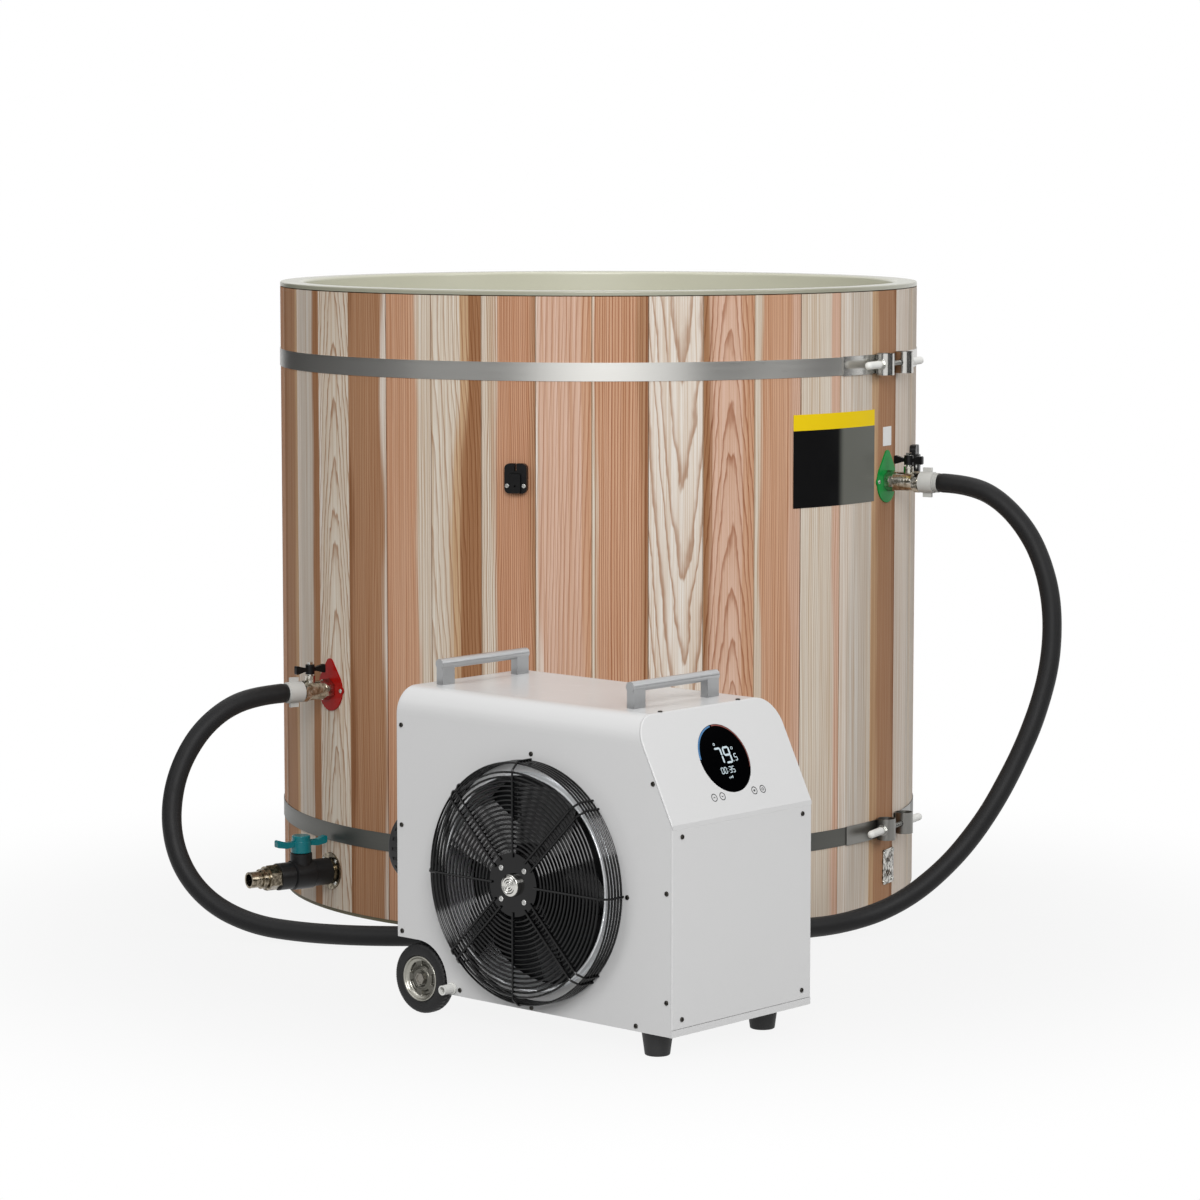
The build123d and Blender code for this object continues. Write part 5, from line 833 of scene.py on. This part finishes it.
# Outline of the tyre and of the hub: radius and place across the wheel, in millimetres
TYRE_OUTLINE = ((33.0, 4.0), (33.4, 1.6), (35.0, 0.6), (39.0, 0.25), (43.5, 0.4), (47.0, 1.2), (49.4, 2.8),
                (50.6, 5.0), (51.0, 8.5), (51.0, 12.5))
HUB_OUTLINE = ((33.0, 4.5), (33.0, 1.5), (32.2, 0.7), (31.0, 0.9), (30.2, 2.0), (29.4, 3.6), (27.6, 5.2),
               (25.6, 6.3), (24.0, 6.6), (20.0, 6.4), (16.6, 5.9), (15.2, 4.4), (14.0, 3.7), (12.2, 3.9),
               (11.0, 5.0), (9.5, 5.3), (6.3, 5.3), (6.3, 12.5))


def smooth_outline(outline, steps):
    """Even points along an outline and its mirror image across the wheel, by length."""
    half = np.array(outline) / 1000
    whole = np.r_[half, (half * (1, -1) + (0, WHEEL_WIDE))[-2::-1]]
    length = np.r_[0, np.cumsum(np.hypot(*np.diff(whole, axis=0).T))]
    at = np.linspace(0, length[-1], steps)
    return np.interp(at, length, whole[:, 0]), np.interp(at, length, whole[:, 1])


def step_up(value, low, high):
    """Smooth step of an array from 0 at the low value to 1 at the high one."""
    share = np.clip((value - low) / (high - low), 0, 1)
    return share * share * (3 - 2 * share)


def turned_piece(name, radius, across, body, material, near):
    """A closed surface round the wheels' axis, from radii and places across in a grid of turns by outline."""
    turns, steps = radius.shape
    angles = np.arange(turns)[:, None] / turns * 2 * np.pi
    inward = across if near else CASE_DEEP - across
    way = 1.0 if near else -1.0
    along = WHEEL_ALONG + radius * np.cos(angles) * way
    points = case_point(along, inward, WHEEL_UP + radius * np.sin(angles))
    here = np.arange(turns)[:, None] * steps + np.arange(steps)[None]
    after = np.roll(here, -1, axis=0)
    onward = np.roll(here, -1, axis=1)
    corner = np.roll(after, -1, axis=1)
    faces = np.stack([here, onward, corner, after], axis=-1).reshape(-1, 4)
    return add_piece(name, points.reshape(-1, 3), faces, body, material)


def tyre_piece(name, body, material, near):
    """Tyre: its outline turned round the axle, with grooves between the tread's blocks and short ribs on its
    shoulders."""
    turns, steps = 352, 64
    outline_radius, across = smooth_outline(TYRE_OUTLINE, steps)
    angles = np.arange(turns)[:, None] / turns * 2 * np.pi
    radius = np.broadcast_to(outline_radius, (turns, steps)).copy()
    side = np.where(across > WHEEL_WIDE / 2, 0.5, 0.0)
    blocks = np.sin(TREAD_BLOCKS * angles + 2 * np.pi * side)
    tread = step_up(outline_radius, *TREAD_EDGE)
    radius -= GROOVE_DEPTH * tread * step_up(blocks, 0.25, 0.6)
    middle = 1 - step_up(np.abs(across - WHEEL_WIDE / 2), 0.0006, 0.0013)
    radius -= MIDDLE_GROOVE_DEPTH * tread * middle
    ribs = np.sin(2 * TREAD_BLOCKS * angles) * step_up(outline_radius, *RIB_EDGE) * (1 - tread)
    outward = np.sign(across - WHEEL_WIDE / 2)
    return turned_piece(name, radius, across - outward * RIB_HEIGHT * (1 - ribs), body, material, near)


def hub_piece(name, body, material, near):
    """Hub: its outline turned round the axle. Five pockets sink into the disc on both sides."""
    turns, steps = 240, 96
    radius, across = smooth_outline(HUB_OUTLINE, steps)
    angles = np.arange(turns)[:, None] / turns * 2 * np.pi
    pocket = step_up(np.cos(POCKETS * angles), -0.35, -0.05) * step_up(radius, *POCKET_INNER_EDGE)
    pocket = pocket * (1 - step_up(radius, *POCKET_OUTER_EDGE))
    outward = np.sign(across - WHEEL_WIDE / 2)
    across = np.broadcast_to(across, pocket.shape) - outward * POCKET_DEPTH * pocket
    return turned_piece(name, np.broadcast_to(radius, pocket.shape), across, body, material, near)


TYRE_RUBBER = plain_finish("tyre_rubber", tone(22, 22, 23), 0.55, 0.35, 0.2, 900.0, 0.0002,
                           Specular_IOR_Level=0.35)


def hub_finish():
    """Pressed steel: a bright rim round a darker disc, whose dark tone is partly painted shade for its
    pockets.
    """
    material, tree, shader = new_finish("pressed_hub", Metallic=0.85)
    point, radius = case_radius(tree, WHEEL_ALONG, WHEEL_UP)
    # Partly painted shade: the disc inside the rim, with its pockets, takes the darker colour.
    colour = blend(rise(radius, *RIM_EDGE), tone(108, 106, 99), tone(176, 174, 165))
    look = weathered(tree, point, colour, shade=0.45, roughness=0.3, spread=0.25, fine=300.0)
    dress(shader, *look, 0.0002)
    return material


HUB_STEEL = hub_finish()
for side, body, near in (("front", "front_wheel_body", True), ("rear", "rear_wheel_body", False)):
    tyre = tyre_piece(side + "_tyre", body, TYRE_RUBBER, near)
    hub = hub_piece(side + "_hub", body, HUB_STEEL, near)
    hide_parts(side + "_wheel")
    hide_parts(side + "_wheel")
paint_with(["wheel_axle"], plain_finish("axle_steel", tone(150, 146, 138), 0.4, 0.4, 0.2, 800.0, 0.00015,
                                        Metallic=0.8))


# Hoses.
# Soft foam-insulated hoses lie on the floor between the tub and the chiller. A lengthwise seam closes the
# foam sleeve. Each line is a smooth curve that the points of the hose's route control.
HOSE_RADIUS = 0.016
OUTLET_ROUTE = (
    (-0.5045, -0.3612, 0.367), (-0.5484, -0.3926, 0.367), (-0.598, -0.422, 0.350), (-0.642, -0.447, 0.309),
    (-0.673, -0.468, 0.245), (-0.680, -0.488, 0.171), (-0.659, -0.508, 0.104), (-0.612, -0.528, 0.053),
    (-0.543, -0.550, 0.024), (-0.466, -0.574, 0.017), (-0.384, -0.600, 0.017), (-0.296, -0.606, 0.017),
    (-0.207, -0.594, 0.017), (-0.120, -0.571, 0.017), (-0.030, -0.574, 0.019), (0.046, -0.621, 0.030),
    (0.097, -0.700, 0.050), (0.109, -0.790, 0.070), (0.08434, -0.86786, 0.080), (0.05075, -0.90490, 0.080))
INLET_ROUTE = (
    (0.5513, -0.3018, 0.702), (0.6022, -0.3297, 0.702), (0.655, -0.359, 0.672), (0.701, -0.380, 0.611),
    (0.726, -0.398, 0.525), (0.724, -0.414, 0.428), (0.699, -0.430, 0.338), (0.660, -0.444, 0.252),
    (0.613, -0.459, 0.172), (0.553, -0.473, 0.101), (0.477, -0.488, 0.044), (0.390, -0.506, 0.017),
    (0.306, -0.550, 0.017), (0.249, -0.625, 0.017), (0.226, -0.716, 0.022), (0.221, -0.808, 0.044),
    (0.2215, -0.898, 0.068), (0.19546, -0.96862, 0.080), (0.16187, -1.00566, 0.080))


def route_line(name, route):
    """Points along a hose: a NURBS of order 3 that has the route's points as its control points."""
    curve = bpy.data.curves.new(name, "CURVE")
    curve.dimensions = "3D"
    spline = curve.splines.new("NURBS")
    spline.points.add(len(route) - 1)
    spline.points.foreach_set("co", np.c_[np.array(route), np.ones(len(route))].ravel())
    spline.order_u = 3
    spline.use_endpoint_u = True
    spline.resolution_u = 14
    holder = bpy.data.objects.new(name, curve)
    mesh = bpy.data.meshes.new_from_object(holder)
    line = np.zeros(len(mesh.vertices) * 3)
    mesh.vertices.foreach_get("co", line)
    bpy.data.objects.remove(holder)
    bpy.data.meshes.remove(mesh)
    return line.reshape(-1, 3)


def frames_along(line):
    """Two directions square to a line at each of its points, turned as little as possible along the line."""
    tangent = np.gradient(line, axis=0)
    tangent /= np.linalg.norm(tangent, axis=1)[:, None]
    first = np.cross(tangent[0], (0.0, 0.0, 1.0))
    firsts = [first / np.linalg.norm(first)]
    for direction in tangent[1:]:
        turned = firsts[-1] - direction * np.dot(firsts[-1], direction)
        firsts.append(turned / np.linalg.norm(turned))
    firsts = np.array(firsts)
    return firsts, np.cross(tangent, firsts)


def carried_ring(line, angles, radii):
    """A ring of radii at angles, carried along a line. Gives an array of stations by angles by 3."""
    first, second = frames_along(line)
    out = first[:, None] * np.cos(angles)[None, :, None] + second[:, None] * np.sin(angles)[None, :, None]
    return line[:, None] + out * radii[:, :, None]


def ring_faces(stations, sides):
    """Quads between rings that follow each other, and a fan of triangles to a point at each end."""
    here = np.arange(stations - 1)[:, None] * sides + np.arange(sides)[None]
    after = np.arange(stations - 1)[:, None] * sides + (np.arange(sides)[None] + 1) % sides
    quads = np.stack([here, after, after + sides, here + sides], axis=-1).reshape(-1, 4)
    start = stations * sides
    turn = np.arange(sides)
    last = (stations - 1) * sides
    low = np.stack([(turn + 1) % sides, turn, np.full(sides, start)], axis=-1)
    high = np.stack([last + turn, last + (turn + 1) % sides, np.full(sides, start + 1)], axis=-1)
    return [*quads.tolist(), *low.tolist(), *high.tolist()]


SEAM_ANGLE = 0.9
SEAM_DEPTH = 0.0011
SEAM_STEP = 0.0004
SWELL = 0.0002
END_SHARE = 0.93


def hose_piece(name, route, body, material):
    """A foam sleeve round a hose's line. Its radius dips at the seam, on one side more than on the other."""
    line = route_line(name, route)
    sides = 40
    angles = np.arange(sides) / sides * 2 * np.pi
    length = np.r_[0, np.cumsum(np.linalg.norm(np.diff(line, axis=0), axis=1))]
    wander = SEAM_ANGLE + 0.25 * np.sin(length * 5)
    apart = (angles[None] - wander[:, None] + np.pi) % (2 * np.pi) - np.pi
    dip = SEAM_DEPTH * np.exp(-(apart / 0.1) ** 2) + SEAM_STEP * (apart > 0) * np.exp(-(apart / 0.6) ** 2)
    swell = SWELL * np.sin(length * 60)[:, None] * np.cos(angles * 2)[None]
    radii = HOSE_RADIUS - dip - SWELL + swell
    radii[[0, -1]] *= END_SHARE
    rings = carried_ring(line, angles, radii)
    points = np.r_[rings.reshape(-1, 3), line[[0, -1]]]
    piece = add_piece(name, points, ring_faces(len(line), sides), body, material)
    faces = piece.data.uv_layers.new(name="UVMap")
    corners = np.zeros(len(piece.data.loops), int)
    piece.data.loops.foreach_get("vertex_index", corners)
    round_it = np.r_[np.tile(angles / (2 * np.pi), len(line)), 0.5, 0.5]
    along = np.r_[np.repeat(length, sides), 0, length[-1]]
    faces.data.foreach_set("uv", np.c_[round_it[corners], along[corners]].ravel())
    return piece, line, length[-1]


HOSE_FINISH = plain_finish("foam_sleeve", tone(22, 22, 23), 0.52, 0.3, 0.15, 1500.0, 0.00012,
                           Specular_IOR_Level=0.22, Sheen_Weight=0.05, Sheen_Roughness=0.5)
for name, route, node in (("outlet_sleeve", OUTLET_ROUTE, "outlet_hose"),
                          ("inlet_sleeve", INLET_ROUTE, "inlet_hose")):
    sleeve, line, length = hose_piece(name, route, "body", HOSE_FINISH)
    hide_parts(node)


# Camera, floor and light.
# The camera stands where the photograph was taken from. A pale floor fades into a white background, with
# large soft lamps in front, at both sides and above. Cards that only reflections show shape the metal.
CAMERA_DOWN = 6.4468
camera_data = bpy.data.cameras.new("camera")
camera_data.sensor_width = 36.0
camera_data.lens = 118.66
camera_data.clip_end = 100.0
camera = linked("camera", camera_data)
camera.location = (0.0025, -6.684, 1.2323)
camera.rotation_euler = (math.radians(90 - CAMERA_DOWN), 0.0, 0.0)
bpy.context.scene.camera = camera


FADE_MIDDLE = -0.45
FADE_EDGE = (0.6, 1.5)


def looked_at(tree):
    """1 for what the camera sees straight, mirrored or through glass, and 0 for light that falls on it."""
    camera_ray, _, _, glossy_ray, _, _, clear_ray, *_ = outputs_of(tree, "LightPath", {})
    return camera_ray.math("MAXIMUM", glossy_ray).math("MAXIMUM", clear_ray)


def floor_finish():
    """Pale matt floor that fades to the white of the background away from the tub."""
    material, tree, shader = new_finish("floor_paint")
    point, x, y, _ = object_place(tree)
    forward = y - FADE_MIDDLE
    away = rise((x * x + forward * forward).math("SQRT"), *FADE_EDGE)
    grain = noise(tree, point, 60.0, 3.0)
    feed(blend(grain * 0.04, tone(130, 130, 130), tone(118, 118, 118)), shader.inputs["Base Color"])
    feed(between(grain, 0.55, 0.65), shader.inputs["Roughness"])
    white = outputs_of(tree, "Emission", {"Color": (1.0, 1.0, 1.0, 1.0), "Strength": 1.0})[0]
    share = between(away, 0.88, 1.0) * looked_at(tree)
    mixed = outputs_of(tree, "MixShader", {0: share, 1: Signal(tree, shader.outputs[0]), 2: white})[0]
    feed(mixed, tree.nodes["Material Output"].inputs["Surface"])
    return material


FLOOR_SIDES = 96
FLOOR_RINGS = np.array((0.5, 1.5, 4.0, 12.0, 30.0))[:, None]
floor_turns = np.arange(FLOOR_SIDES) / FLOOR_SIDES * 2 * np.pi
floor_level = np.zeros((len(FLOOR_RINGS), FLOOR_SIDES))
floor_points = np.stack([FLOOR_RINGS * np.cos(floor_turns), FLOOR_RINGS * np.sin(floor_turns), floor_level],
                        axis=-1).reshape(-1, 3)
floor_mesh = bpy.data.meshes.new("floor")
floor_faces = [tuple(face)[::-1] for face in ring_faces(len(FLOOR_RINGS), FLOOR_SIDES) if len(face) == 4]
floor_mesh.from_pydata(floor_points.tolist(), [], [*floor_faces, tuple(range(FLOOR_SIDES))])
floor_mesh.materials.append(floor_finish())
floor = linked("floor", floor_mesh)

world = bpy.data.worlds.new("studio")
bpy.context.scene.world = world
world.use_nodes = True
sky = world.node_tree
feed((1.0, 1.0, 1.0, 1.0), sky.nodes["Background"].inputs["Color"])
feed(between(looked_at(sky), 0.42, 1.0), sky.nodes["Background"].inputs["Strength"])


def soft_lamp(name, place, target, size, power):
    """A large square lamp that faces a point."""
    data = bpy.data.lights.new(name, "AREA")
    data.size = size
    data.energy = power
    lamp = linked(name, data)
    lamp.location = place
    towards = np.array(target) - np.array(place)
    lamp.rotation_euler = (math.atan2(math.hypot(towards[0], towards[1]), -towards[2]), 0.0,
                           math.atan2(-towards[0], towards[1]))


soft_lamp("front_lamp", (0.2, -6.2, 3.2), (0.0, -0.4, 0.5), 2.6, 222.0)
soft_lamp("left_lamp", (-4.2, -3.2, 2.8), (0.0, 0.0, 0.5), 2.0, 44.0)
soft_lamp("right_lamp", (4.4, -2.2, 2.4), (0.0, 0.0, 0.5), 2.0, 56.0)
soft_lamp("top_lamp", (0.0, 0.2, 4.2), (0.0, 0.0, 0.0), 2.6, 40.0)


CARD_POSTS = 12
CARD_HEIGHT = 3.2


def dark_card(name, direction, half_turn, distance, shade):
    """A bent card that stands round the tub and shows in reflections alone."""
    turns = np.radians(direction + np.linspace(-half_turn, half_turn, CARD_POSTS))
    across, forward = distance * np.sin(turns), -distance * np.cos(turns)
    low, high = (np.stack([across, forward, np.full(CARD_POSTS, height)], axis=-1)
                 for height in (0.0, CARD_HEIGHT))
    here = np.arange(CARD_POSTS - 1)
    faces = np.stack([here, here + CARD_POSTS, here + CARD_POSTS + 1, here + 1], axis=-1)
    mesh = bpy.data.meshes.new(name)
    mesh.from_pydata(np.r_[low, high].tolist(), [], faces.tolist())
    cloth = plain_finish(name + "_cloth", tone(shade, shade, shade), 1.0, 0.1, Specular_IOR_Level=0.0)
    mesh.materials.append(cloth)
    card = linked(name, mesh)
    for rays in ("camera", "diffuse", "shadow", "transmission"):
        setattr(card, "visible_" + rays, False)


dark_card("right_card", 64.0, 33.0, 5.6, 40)
dark_card("left_card", -108.0, 44.0, 5.6, 70)
dark_card("near_left_card", -43.0, 20.0, 5.6, 140)

bpy.context.scene.view_settings.view_transform = "Standard"
